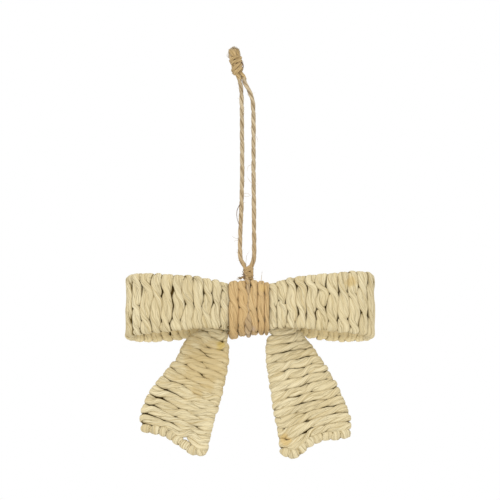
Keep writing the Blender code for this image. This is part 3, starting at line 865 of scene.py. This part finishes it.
# %% Sizes of the tails
TAIL_DROP = 0.0720
TAIL_THICKNESS, PRESSED_TAIL = 0.0050, 0.0030
LEFT_REACH, RIGHT_REACH = 0.0534, 0.0498
BAND_SAG = 0.0008
HEM_BEND = 3 * ROPE_WIDTH
# The tops of both tails lie between the bands, out of sight: outwards, and down in metres
INNER_TOP = ((0.0060, 0.0050), (0.0088, 0.0090), (0.0103, 0.0134))
OUTER_TOP = ((0.0210, 0.0058), (0.0255, 0.0104))
# The rest as shares of a tail's reach outwards, and of its drop
LEFT_INNER = (
    (0.176, 0.317), (0.208, 0.479), (0.255, 0.636), (0.311, 0.775), (0.352, 0.910), (0.382, 0.997),
)
LEFT_OUTER = (
    (0.592, 0.216), (0.643, 0.285), (0.714, 0.372), (0.828, 0.475), (0.940, 0.589), (1.002, 0.711), (1, 0.822),
)
RIGHT_INNER = (
    (0.168, 0.222), (0.155, 0.294), (0.167, 0.417), (0.199, 0.569), (0.235, 0.722), (0.269, 0.85), (0.297, 0.972),
)
RIGHT_OUTER = (
    (0.562, 0.197), (0.622, 0.247), (0.699, 0.322), (0.811, 0.447), (0.920, 0.590), (0.998, 0.736), (1, 0.861),
)
LEFT_WAVE = (0, -0.0016, 0.0004, 0.0022, 0.0012, 0)
RIGHT_WAVE = (0, -0.0036, -0.0002, 0.0014, 0.0004, 0)
# A small slot stays open above the left hem: outwards and up from the bow's middle
SLOT_PLACE, SLOT_REACH, SLOT_RISE = (0.0286, -0.0655), (0.0036, 0.0050), 0.0033


def tail_edges(reach, inner_edge, outer_edge):
    """The two edges as rows of matching points, with their middle line's distances."""
    edges = []
    for top, shares in ((INNER_TOP, inner_edge), (OUTER_TOP, outer_edge)):
        edge = [(x, -down) for x, down in top] + [(out * reach, -share * TAIL_DROP) for out, share in shares]
        edge = smooth_route(edge, OUTLINE_STEPS)
        far = distances(edge)
        # Equal steps along it, so turns are as wide on one edge as on the other
        edges.append(between(np.linspace(0, far[-1], len(edge)), far, edge))
    return *edges, distances((edges[0] + edges[1]) / 2)


def wave_height(wave, share):
    wave = smooth_route([(height, 0) for height in wave], WAVE_STEPS)[:, 0]
    return np.interp(np.clip(share, 0, 1), np.linspace(0, 1, WAVE_STEPS), wave)


def tail_course(side, edges, wave, sway):
    """The rule that places rope on one tail."""
    low, high, far = edges
    band_foot = -KNOT_HEIGHT / 2 - BAND_SAG
    # The way out is square to each edge, not along the turn, or slanting edges would look stepped
    out_low, out_high = (
        np.column_stack([sign * ahead[:, 1], -sign * ahead[:, 0]])
        for sign, ahead in ((1, directions(low)), (-1, directions(high)))
    )

    def course(place, sides):
        first, last = between(place, far, low), between(place, far, high)
        width = np.linalg.norm(last - first, axis=1)
        across = (last - first) / width[:, None]
        half_depth, half_width = TAIL_THICKNESS / 2 - ROPE_LIES, width / 2 - ROPE_LIES
        through, along, out_through, out_along = round_the_core(sides, half_depth, half_width, half_depth)
        flat = (first + last) / 2 + across * along[:, None]
        flat[:, 1] += wave_height(wave, along / width + 0.5) * eased(place, far[-1] - HEM_BEND, far[-1])
        if side < 0:
            from_slot = np.linalg.norm((flat - np.array(SLOT_PLACE)) / np.array(SLOT_REACH), axis=1)
            # The hidden run there is the rope's end, which lies lower and is pushed up further
            hidden = (sides > 3) & (sides < 6)
            flat[:, 1] += SLOT_RISE * (1 + hidden / 2) * np.exp(-from_slot ** 2)
        nearness = 1 - eased(flat[:, 0], WRAP_END + 2 * TOUCH_GAP, 2 * WRAP_END)
        height_share = eased(flat[:, 1], band_foot - TAIL_THICKNESS / 2, band_foot)
        squeeze = 1 - (1 - PRESSED_TAIL / TAIL_THICKNESS) * nearness * height_share
        lean = sway * eased(-flat[:, 1], -band_foot, -low[-1, 1])
        # The shown face is the front one, which is towards -Y
        points = np.column_stack([side * flat[:, 0], -through * squeeze + lean, flat[:, 1]])
        square = np.where((out_along < 0)[:, None], between(place, far, out_low), between(place, far, out_high))
        square = square * np.abs(out_along)[:, None]
        return points + MIDDLE_POINT, np.column_stack([side * square[:, 0], -out_through, square[:, 1]])

    return course

# %% Wind the tails
TAIL_ROUND = one_round(24, 7, 0, 18)
TAIL_ROPE = {**PAPER_ROPE, "Widening": 0.30}
# From the last turn's middle to the middle of the hem below it
HEM_ROOM = 0.0036
LEFT_EDGES = tail_edges(LEFT_REACH, LEFT_INNER, LEFT_OUTER)
RIGHT_EDGES = tail_edges(RIGHT_REACH, RIGHT_INNER, RIGHT_OUTER)
# A tail's name, side, edges, wave and sway, its turns' width, slant and fill, and its seed
TAILS = (
    ("left_tail", -1, LEFT_EDGES, LEFT_WAVE, -0.0020, 0.0048, 2.5, 1.07, 21),
    ("right_tail", 1, RIGHT_EDGES, RIGHT_WAVE, -0.0008, 0.0044, 0.5, 1.06, 35),
)
for node, side, edges, wave, sway, turn_width, slant, fill, seed in TAILS:
    course = tail_course(side, edges, wave, sway)
    tail_end = edges[2][-1] - HEM_ROOM
    winding = wind(
        f"{node}_winding", course, *spaced(turn_width / 2, tail_end, round(tail_end / turn_width)), TAIL_ROUND,
        TAIL_ROPE, cream_paper, seed, slant=slant, fill=fill, gaps=0.16,
    )
    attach(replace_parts(winding, node), "root")
    inner_strip(f"{node}_strip", course, ROPE_WIDTH, tail_end, 50)

# %% [markdown]
# ## The rolled hems
# The lower edge of a tail is whipped: rope wound crosswise round the last turns, which makes a
# thick wavy roll with its turns standing across it. It is the same winding round a round core.

# %% Wind the hems
HEM_ROUND = np.arange(20) * 8 / 20
HEM_RADIUS = 0.00110
HEM_TIP = HEM_RADIUS * math.pi / 2
# The rope's own half thickness stands out beyond the ball at each end
HEM_INSET = 0.0016
HEM_TURN = 0.0043
HEM_ROPE = {
    **PAPER_ROPE, "Spread": 0.00055, "Stack": 0.00030, "Half width": 0.00180, "Half thickness": 0.00125,
    "Squareness": 0.85, "Crown": 0.0003,
}


def hem_course(side, edges, wave, sway):
    """The rule that places rope round a hem, from its outer end to its inner end."""
    low, high, _ = edges
    share = np.linspace(0, 1, 200)
    line = high[-1] * (1 - share)[:, None] + low[-1] * share[:, None]
    line[:, 1] += wave_height(wave, 1 - share)
    line = line[(distances(line) > HEM_INSET) & (distances(line[::-1])[::-1] > HEM_INSET)]
    line = np.column_stack([side * line[:, 0], np.full(len(line), sway), line[:, 1]])
    far, forward = distances(line), directions(line)
    slack = HEM_TIP - HEM_RADIUS
    length = far[-1] + 2 * slack

    def course(place, sides):
        # Both ends are round: there the rope climbs from the pole of a ball to its middle
        nearest = np.minimum(place, length - place)
        climb = np.clip(nearest / HEM_RADIUS, 0.5, math.pi / 2)
        sign = np.where(place < length / 2, -1.0, 1.0)
        straight = np.where(nearest < HEM_TIP, HEM_RADIUS, nearest - slack)
        on_line = np.where(sign < 0, straight, far[-1] - straight)
        middle, ahead = between(on_line, far, line), between(on_line, far, forward)
        upward = np.cross(ahead, [0, -1, 0])
        angle = (sides - 1) * math.pi / 4
        radial = np.array([[0, -1, 0]]) * np.cos(angle)[:, None] + upward * np.sin(angle)[:, None]
        outward = radial * np.sin(climb)[:, None] + ahead * (sign * np.cos(climb))[:, None]
        return middle + outward * HEM_RADIUS + MIDDLE_POINT, outward

    return course, length


for node, side, edges, wave, sway, *_, seed in TAILS:
    course, length = hem_course(side, edges, wave, sway)
    turns = spaced(HEM_TURN / 2, length - HEM_TURN / 2, round(length / HEM_TURN))
    hem = wind(
        f"{node}_hem", course, *turns, HEM_ROUND, HEM_ROPE, cream_paper, seed + 2,
        firmness=0.2, move_on=(2.6, 7.4), slant=0.2, fill=1.25, tuck_depth=0.0006,
    )
    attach(hem, "root")

# %% [markdown]
# ## The tan wrap
# Two wide turns left of the twine and three narrower ones right of it bind the bow's middle. The
# core here is a rounded rectangle, the stack of bands, so its corners are larger.

# %% Wind the wrap
WRAP_CORE = 0.00105
HOLE_HALF_DEPTH, HOLE_HALF_HEIGHT = 0.0057, KNOT_HEIGHT / 2 + TOUCH_GAP
HOLE_CORNER = 0.0021
WRAP_TAPER = 0.0008
LEFT_WRAP_TURNS = np.array([0.0044, 0.0041])
RIGHT_WRAP_TURNS = np.array([0.0039, 0.0032, 0.0023])
TIE_SLOT = 0.0019
WRAP_ROUND = one_round(24, 7, 6, 20)
WRAP_ROPE = {
    **PAPER_ROPE, "Stack": 0.00036, "Half thickness": 0.00104,
    "Widening": 0.3, "Squareness": 0.85, "Crown": 0.0008,
}
# The turns beside the tie close over it halfway up the shown face, and give way where it comes out
TIE_PLACE = -WRAP_END + sum(LEFT_WRAP_TURNS) + TIE_SLOT / 2
CLOSING, GIVING_WAY, TIE_INFLUENCE = 0.00110, 0.00060, 0.0042
# The turns aren't equally long: the first reaches lowest, and they get shorter to the right
WRAP_PLACES = (-0.0077, -0.0034, 0.0024, 0.0060, 0.0088)
WRAP_TOPS = (0.0001, 0.0003, 0.0006, 0.0002, -0.0005)
WRAP_BOTTOMS = (-0.0009, 0.0002, 0.0002, 0.0004, 0.0002)


def wrap_course(place, sides):
    """The rule that places rope round the bow's middle, a little lower on its left."""
    taper = WRAP_TAPER * np.clip((place + WRAP_END) / (2 * WRAP_END), 0, 1)
    half_depth, half_height = HOLE_HALF_DEPTH + WRAP_CORE, HOLE_HALF_HEIGHT + WRAP_CORE - taper
    through, up, out_through, out_up = round_the_core(sides, half_depth, half_height, HOLE_CORNER + WRAP_CORE)
    beside = place - TIE_PLACE
    close = CLOSING * eased(up, -0.0085, -0.0035) * (1 - eased(up, 0.0050, 0.0105))
    give = GIVING_WAY * (1 - eased(up, -0.0112, -0.0080))
    nearness = np.exp(-(beside / TIE_INFLUENCE) ** 2) * eased(through, 0, half_depth)
    shift = np.sign(beside) * nearness * (give - close)
    own_top, own_bottom = (np.interp(place, WRAP_PLACES, levels) for levels in (WRAP_TOPS, WRAP_BOTTOMS))
    level = own_top * eased(up, 0, half_height) + own_bottom * eased(-up, 0, half_height)
    points = np.column_stack([place + shift, -through, up + taper + level]) + MIDDLE_POINT
    return points, np.column_stack([np.zeros_like(place), -out_through, out_up])


for part, widths, start, seed in (
    ("left", LEFT_WRAP_TURNS, -WRAP_END, 51),
    ("right", RIGHT_WRAP_TURNS, -WRAP_END + sum(LEFT_WRAP_TURNS) + TIE_SLOT, 64),
):
    middles = start + np.cumsum(widths) - widths / 2
    winding = wind(
        f"centre_wrap_{part}", wrap_course, middles, widths, WRAP_ROUND, WRAP_ROPE, tan_paper, seed,
        firmness=0.25, fill=1.08,
    )
    if part == "left":
        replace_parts(winding, "centre_wrap")
    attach(winding, "root")

# %% [markdown]
# ## The tie and the knots
# The hanger's twine goes once round the wrap's waist and is knotted on top. It is pressed in
# between two turns, so it lies thinner there. The knots are the same twine on tight routes: a
# few turns round the strands, with short ends that stick out.

# %% The tie round the waist
TIE_DIAMETER = 0.0015
tie_sides = np.append(np.linspace(2.4, 10.4, 160), 2.5) % 8
# Sunk on the shown face, and out again at its top and bottom
tie_middle = np.clip(tie_sides, 0, 1)
tie_sunk = 0.0012 * eased(tie_middle, 0.10, 0.30) * (1 - eased(tie_middle, 0.80, 0.98))
tie_out = 0.0026 - TIE_DIAMETER / 2 - tie_sunk
through, up, _, _ = round_the_core(
    tie_sides, HOLE_HALF_DEPTH + tie_out, HOLE_HALF_HEIGHT + tie_out, HOLE_CORNER + tie_out
)
# It is drawn up tight below
up = up + 0.0010 * eased(-up, 0, HOLE_HALF_HEIGHT)
tie_route = np.column_stack([np.full(len(tie_sides), TIE_PLACE), -through, up]) + MIDDLE_POINT
# Pressed flat and wide where it shows again under the wrap's front edge, and behind
tie_flat = 1 + 0.8 * eased(tie_sides, 6.8, 7.5) + 0.8 * (tie_sides < 1) * (1 - eased(tie_sides, 0.06, 0.24))
tie_flat += 0.5 * eased(tie_sides, 2.9, 3.5) * (1 - eased(tie_sides, 5.5, 6.1))
tie = twine_piece("hanger_tie_twine", tie_route, 0.009, 6.2, scale=0.84, room=tie_flat)
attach(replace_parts(tie, "hanger_tie"), "root")

# %% The knots, with all routes in millimetres
def through_points(count, *points):
    return smooth_route(np.array(points) * MM, count)


def helix(low, high, radius, depth, turns, start, tilt):
    """A route that goes round the line from low to high, each turn tilted to one side."""
    share = np.linspace(0, 1, 100)
    angle = start + share * turns * 2 * math.pi
    line = np.array(low) * (1 - share)[:, None] + np.array(high) * share[:, None]
    return MM * (line + np.column_stack([radius * np.cos(angle), depth * np.sin(angle), tilt * np.cos(angle)]))


def knot(node, twist_length, seed, parts):
    """Several lengths of twine as one piece. A part is its route and how thick it is."""
    pieces = [
        twine_piece(f"{node}_{number}", route, twist_length, seed + number, scale=scale, finish=brown_jute)
        for number, (route, scale) in enumerate(parts)
    ]
    whole = in_scene(f"{node}_twine", pieces[0].data)
    chosen = [whole, *pieces[1:]]
    with bpy.context.temp_override(
        active_object=whole, object=whole, selected_editable_objects=chosen, selected_objects=chosen,
    ):
        bpy.ops.object.join()
    bpy.data.objects.remove(pieces[0])
    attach(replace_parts(whole, node), "root")
    return whole


lower_coil = helix((2.0, -0.9, -99.8), (2.1, -0.8, -96.8), 1.7, 1.9, 1.7, 2.2, -0.9)
lower_end = through_points(40, (2.0, -2.8, -97.8), (0.4, -3.6, -98.6), (-0.8, -3.6, -99.2), (-1.8, -3.2, -99.8))
lower_knot = knot("lower_knot", 0.011, 7.0, (
    # From the left strand down the front and over the wrap's edge, where it becomes the tie
    (through_points(
        80, (-0.4, -0.8, -91.7), (0.4, -1.6, -94.2), (1.0, -2.2, -96.8), (1.0, -2.8, -99.0),
        (1.3, -4.6, -101.0), (1.7, -6.3, -102.1), (2.05, -7.4, -104.0),
    ), 0.92),
    (through_points(
        60, (4.0, -0.8, -92.1), (3.3, -1.3, -94.2), (3.5, -1.9, -96.6), (3.1, -2.0, -99.0), (2.4, -1.2, -101.0),
    ), 0.98),
    (helix((2.1, -0.8, -95.6), (2.0, -0.8, -94.0), 1.8, 1.7, 1.25, 3.6, 0.7), 0.80),
    (lower_coil, 0.86),
    (lower_end, 0.5),
))

top_coil = helix((-3.3, 0, 9.0), (-3.9, 0, 12.6), 2.0, 1.8, 1.7, 3.4, 1.0)
top_left_end = through_points(
    50, (-5.0, -0.6, 11.0), (-5.4, -0.6, 13.5), (-6.2, -0.5, 16.5), (-6.7, -0.5, 19.0), (-6.7, -0.4, 20.8),
)
top_right_end = through_points(
    50, (-2.8, 0.4, 11.0), (-3.0, 0.4, 13.5), (-3.4, 0.4, 16.8), (-3.6, 0.4, 19.2), (-3.8, 0.4, 21.0),
)
top_knot = knot("top_knot", 0.012, 12.0, (
    (top_coil, 0.98),
    (helix((-4.2, 0, 13.8), (-4.6, 0, 17.2), 2.3, 1.9, 1.9, 3.4, 0.3), 0.95),
    (top_left_end, 1.25),
    (top_right_end, 1.22),
    # The two strands' necks, and a middle end
    (through_points(40, (-2.35, 0, 5.0), (-3.1, -0.5, 6.8), (-4.4, -0.9, 8.8), (-4.9, -0.6, 11.0)), 1.0),
    (through_points(40, (0.15, 0, 5.0), (-0.8, 0.2, 7.2), (-2.1, 0.4, 9.2), (-2.8, 0.4, 11.2)), 1.0),
    (through_points(30, (-4.2, -0.8, 15.0), (-5.0, -0.9, 18.5), (-5.3, -0.7, 21.0)), 0.95),
))

# %% [markdown]
# ## Loose fibres
# Jute is hairy. Fine fibres stand off the strands, a few long ones bow away from them, and the
# cut ends above the top knot fray into a brush. Each fibre is a thin tapering tube with five
# sides, and one tree makes them all.

# %% Fibre tree
FIBRE_INPUTS = {"Radius": "NodeSocketFloat", "Sides": "NodeSocketInt", "Finish": "NodeSocketMaterial"}
fibre_tree, fibre_given = new_tree("loose_fibres", FIBRE_INPUTS)
fibre_curve = add_node(fibre_tree, "GeometryNodeMeshToCurve", fibre_given["Geometry"])
fibre_radius = named_attribute(fibre_tree, "FLOAT", "thick") * fibre_given["Radius"]
named = {"Curve": fibre_curve, "Radius": fibre_radius}
tapered = add_node(fibre_tree, "GeometryNodeSetCurveRadius", named=named)
named = {"Resolution": fibre_given["Sides"], "Radius": 1}
circle = add_node(fibre_tree, "GeometryNodeCurvePrimitiveCircle", named=named)
scale_now = add_node(fibre_tree, "GeometryNodeInputRadius")
named = {"Curve": tapered, "Profile Curve": circle, "Fill Caps": True, "Scale": scale_now}
finish_tree(fibre_tree, fibre_given, [add_node(fibre_tree, "GeometryNodeCurveToMesh", named=named)])
print("fibre tree nodes:", len(fibre_tree.nodes))

# %% Grow the fibres
FIBRE_POINTS = 8


def fibre_piece(name, routes, finish, radius):
    """All the fibres of one kind as one piece."""
    points = np.vstack([smooth_route(route, FIBRE_POINTS) for route in routes])
    taper = np.tile(1 - 0.75 * np.linspace(0, 1, FIBRE_POINTS) ** 2, len(routes))
    path = path_object(name, points, {"thick": taper}, [FIBRE_POINTS] * len(routes))
    piece = grow(name, path, fibre_tree, {"Radius": radius, "Sides": 5, "Finish": finish})
    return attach(piece, "root")


def standing_fibre(random, root, forward, length, lift):
    """A fibre that leaves the twine at a slant and curls."""
    aside = random.normal(size=3)
    aside -= forward * np.dot(aside, forward)
    aside /= np.linalg.norm(aside)
    curl = random.normal(size=3) * 0.25
    root = root + aside * TWINE_DIAMETER * 0.4
    way = forward * (1 - lift) + aside * lift
    return [root, root + way * length * 0.5, root + (way + curl) * length]


random = np.random.RandomState(77)
# How many points to spare at the ends, whether fibres lean both ways, their lengths and lift
ON_STRAND, ON_KNOT = (6, True, (0.0008, 0.0028), (0.1, 0.5)), (2, False, (0.0010, 0.0032), (0.4, 0.8))
BACKWARDS = 0.25
fuzz = []
for route, count, (spared, both_ways, lengths, lifts) in (
    (left_route, 80, ON_STRAND), (right_route, 80, ON_STRAND),
    (lower_coil, 22, ON_KNOT), (top_coil, 20, ON_KNOT),
):
    ways = directions(route)
    for _ in range(count):
        at = random.randint(spared, len(route) - spared)
        sign = -1 if both_ways and random.uniform() >= 1 - BACKWARDS else 1
        length, lift = random.uniform(*lengths), random.uniform(*lifts)
        fuzz.append(standing_fibre(random, route[at], ways[at] * sign, length, lift))
fuzz_piece = fibre_piece("twine_fuzz", fuzz, pale_fibre, 0.000055)

# Where the frayed ends reach, how many fibres each has, how wide it is and how round on top
BRUSH_TOP = np.array([-0.0049, 0, 0.0230])
BRUSH_FIBRES, BRUSH_RADIUS, BRUSH_DOME = 110, 0.00140, 250
brush = []
for end in (top_left_end, top_right_end):
    for _ in range(BRUSH_FIBRES):
        at = random.randint(-24, -3)
        aside = random.normal(size=3) * np.array([1, 0.8, 0])
        aside *= random.uniform(0.6, 1.05) * BRUSH_RADIUS / np.linalg.norm(aside)
        root = end[at] + aside
        lean = random.normal(size=3) * np.array([0.0006, 0.0005, 0.0003])
        tip = end[-1] * 0.75 + BRUSH_TOP * 0.25 + aside * random.uniform(0.2, 1.0) + lean
        tip[2] = BRUSH_TOP[2] - random.uniform(0, 0.0012) - BRUSH_DOME * (tip[0] - BRUSH_TOP[0]) ** 2
        brush.append([root, (root + tip) / 2 + aside * 0.15, tip])
for _ in range(16):
    root = lower_end[-3] + random.normal(size=3) * 0.0003
    lean = random.normal(size=3) * 0.0006
    middle, tip = np.array([-0.8, 0, 0]) * MM + lean * 0.4, np.array([-1.3, -0.2, 0.1]) * MM + lean
    brush.append([root, root + middle, root + tip])
for _ in range(7):
    root = np.array([-6.2, -0.8, 15.4]) * MM + random.normal(size=3) * 0.0004
    tip = np.array([-8.4, -0.8, 19.2]) * MM + random.normal(size=3) * 0.0006
    brush.append([root, (root + tip) / 2 + np.array([-0.5, 0, 0]) * MM, tip])
brush_piece = fibre_piece("frayed_ends", brush, brown_fibre, 0.00010)

# In millimetres
LONG_FIBRES = (
    ((-2.2, -1.0, -61.2), (-3.5, -1.4, -64.0), (-3.7, -1.4, -67.5), (-2.8, -1.2, -71.2), (-1.4, -1.0, -73.2)),
    ((0.4, -4.4, -98.8), (-0.8, -5.0, -99.3), (-2.2, -5.2, -99.8)),
    ((-0.8, -3.0, -96.2), (-0.3, -4.2, -97.5), (1.0, -4.8, -99.0)),
    ((-1.0, -2.6, -97.5), (-0.2, -4.0, -98.4), (0.6, -5.2, -100.2)),
    ((-1.6, -0.4, 15.2), (-0.9, -0.8, 13.8), (-0.4, -0.8, 12.2), (-0.8, -0.6, 9.6)),
    ((-1.7, -0.2, 14.8), (-1.0, -0.6, 13.6), (-0.6, -0.6, 12.0), (-1.0, -0.4, 9.8)),
    ((-1.7, -0.8, 15.0), (-1.1, -1.2, 13.6), (-0.7, -1.2, 12.4), (-1.0, -1.0, 9.6)),
)
WISPS = (
    ((-2.0, -0.4, -79.0), (-4.6, -1.0, -78.6), (-6.2, -1.2, -77.5)),
    ((-1.8, -0.4, -80.0), (-4.0, -0.6, -79.6), (-5.2, -0.4, -80.2)),
    ((4.0, -0.4, -40.0), (2.0, -0.8, -41.2), (1.4, -0.4, -44.0)),
    ((4.2, -0.2, -50.5), (2.2, -0.6, -48.0), (1.4, -0.4, -46.2)),
    ((-0.8, -0.6, -56.2), (1.2, -1.0, -57.2), (3.8, -0.6, -56.0)),
    ((-0.6, 0.4, -55.6), (1.4, 0.2, -55.0), (4.0, 0.4, -56.6)),
    ((0.8, -1.2, -92.0), (1.2, -1.0, -88.0), (2.6, -0.8, -85.0)),
    ((8.3, -7.6, -103.0), (8.6, -7.4, -99.8), (9.0, -7.0, -96.8)),
    ((8.4, -7.6, -103.0), (8.7, -7.3, -99.8), (8.8, -6.9, -97.2)),
    ((-5.6, -1.0, 14.0), (-6.8, -1.4, 15.8), (-7.8, -1.2, 18.0)),
    ((-6.2, -0.8, 19.0), (-7.6, -1.0, 20.6), (-8.8, -0.8, 21.4)),
    ((5.0, -0.6, -24.0), (6.4, -1.0, -26.2), (7.0, -0.8, -28.5)),
)
long_piece = fibre_piece("dark_fibres", [np.array(route) * MM for route in LONG_FIBRES], dark_fibre, 0.00021)
wisps_piece = fibre_piece("twine_wisps", [np.array(route) * MM for route in WISPS], pale_fibre, 0.00009)

# %% [markdown]
# Each strand takes the place of its part in the measured model and is attached to the root body.

# %% Attach the strands
CORD_PIECES = [top_knot, lower_knot, fuzz_piece, brush_piece, long_piece, wisps_piece]
for strand, route, node, others in (
    (left_strand, left_route, "left_strand", CORD_PIECES),
    (right_strand, right_route, "right_strand", []),
):
    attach(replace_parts(strand, node), "root")
    [tuple(point) for point in route[::4]] + [tuple(route[-1])]

# %% [markdown]
# ## Light and surroundings
# The photo is a plain product picture: white behind, and broad soft light mostly from the front
# and above, so that only the furrows are dark. A white world does most of it, one very soft sun
# adds the direction, and a large low panel in front lights the insides of the loops, as a
# reflector on the table would. The floor lies far below, so no view from behind meets it.

# %% World, lights and floor
world = bpy.data.worlds.new("white_studio")
world.use_nodes = True
bpy.context.scene.world = world
background = world.node_tree.nodes["Background"]
background.inputs["Color"].default_value = (1, 1, 1, 1)
background.inputs["Strength"].default_value = 1.0


def add_light(data, towards_light, distance=0.0):
    light = in_scene(data.name, data)
    direction = Vector(towards_light).normalized()
    light.rotation_euler = direction.to_track_quat("Z", "Y").to_euler()
    light.location = BOW_MIDDLE + direction * distance


sun_data = bpy.data.lights.new("soft_sun", "SUN")
sun_data.energy, sun_data.angle = 0.7, math.radians(50)
add_light(sun_data, (-0.45, -1.0, 1.1))
panel_data = bpy.data.lights.new("low_panel", "AREA")
panel_data.energy, panel_data.size = 8, 1.2
add_light(panel_data, (0.15, -1.0, -0.65), 1.9)

FLOOR_DROP = 1.5
FLOOR_HALF = 12
floor_mesh = bpy.data.meshes.new("floor")
floor_corners = [(x * FLOOR_HALF, y * FLOOR_HALF, -FLOOR_DROP) for x, y in ((-1, -1), (1, -1), (1, 1), (-1, 1))]
floor_mesh.from_pydata(floor_corners, [], [(0, 1, 2, 3)])
floor = in_scene("floor", floor_mesh)
floor_finish, _, floor_shader = start_finish("pale_floor", 0.9, 0)
floor_shader.inputs["Base Color"].default_value = (0.86, 0.86, 0.86, 1)
floor_mesh.materials.append(floor_finish)

bpy.context.scene.view_settings.view_transform = "Standard"
bpy.context.scene.view_settings.look = "None"
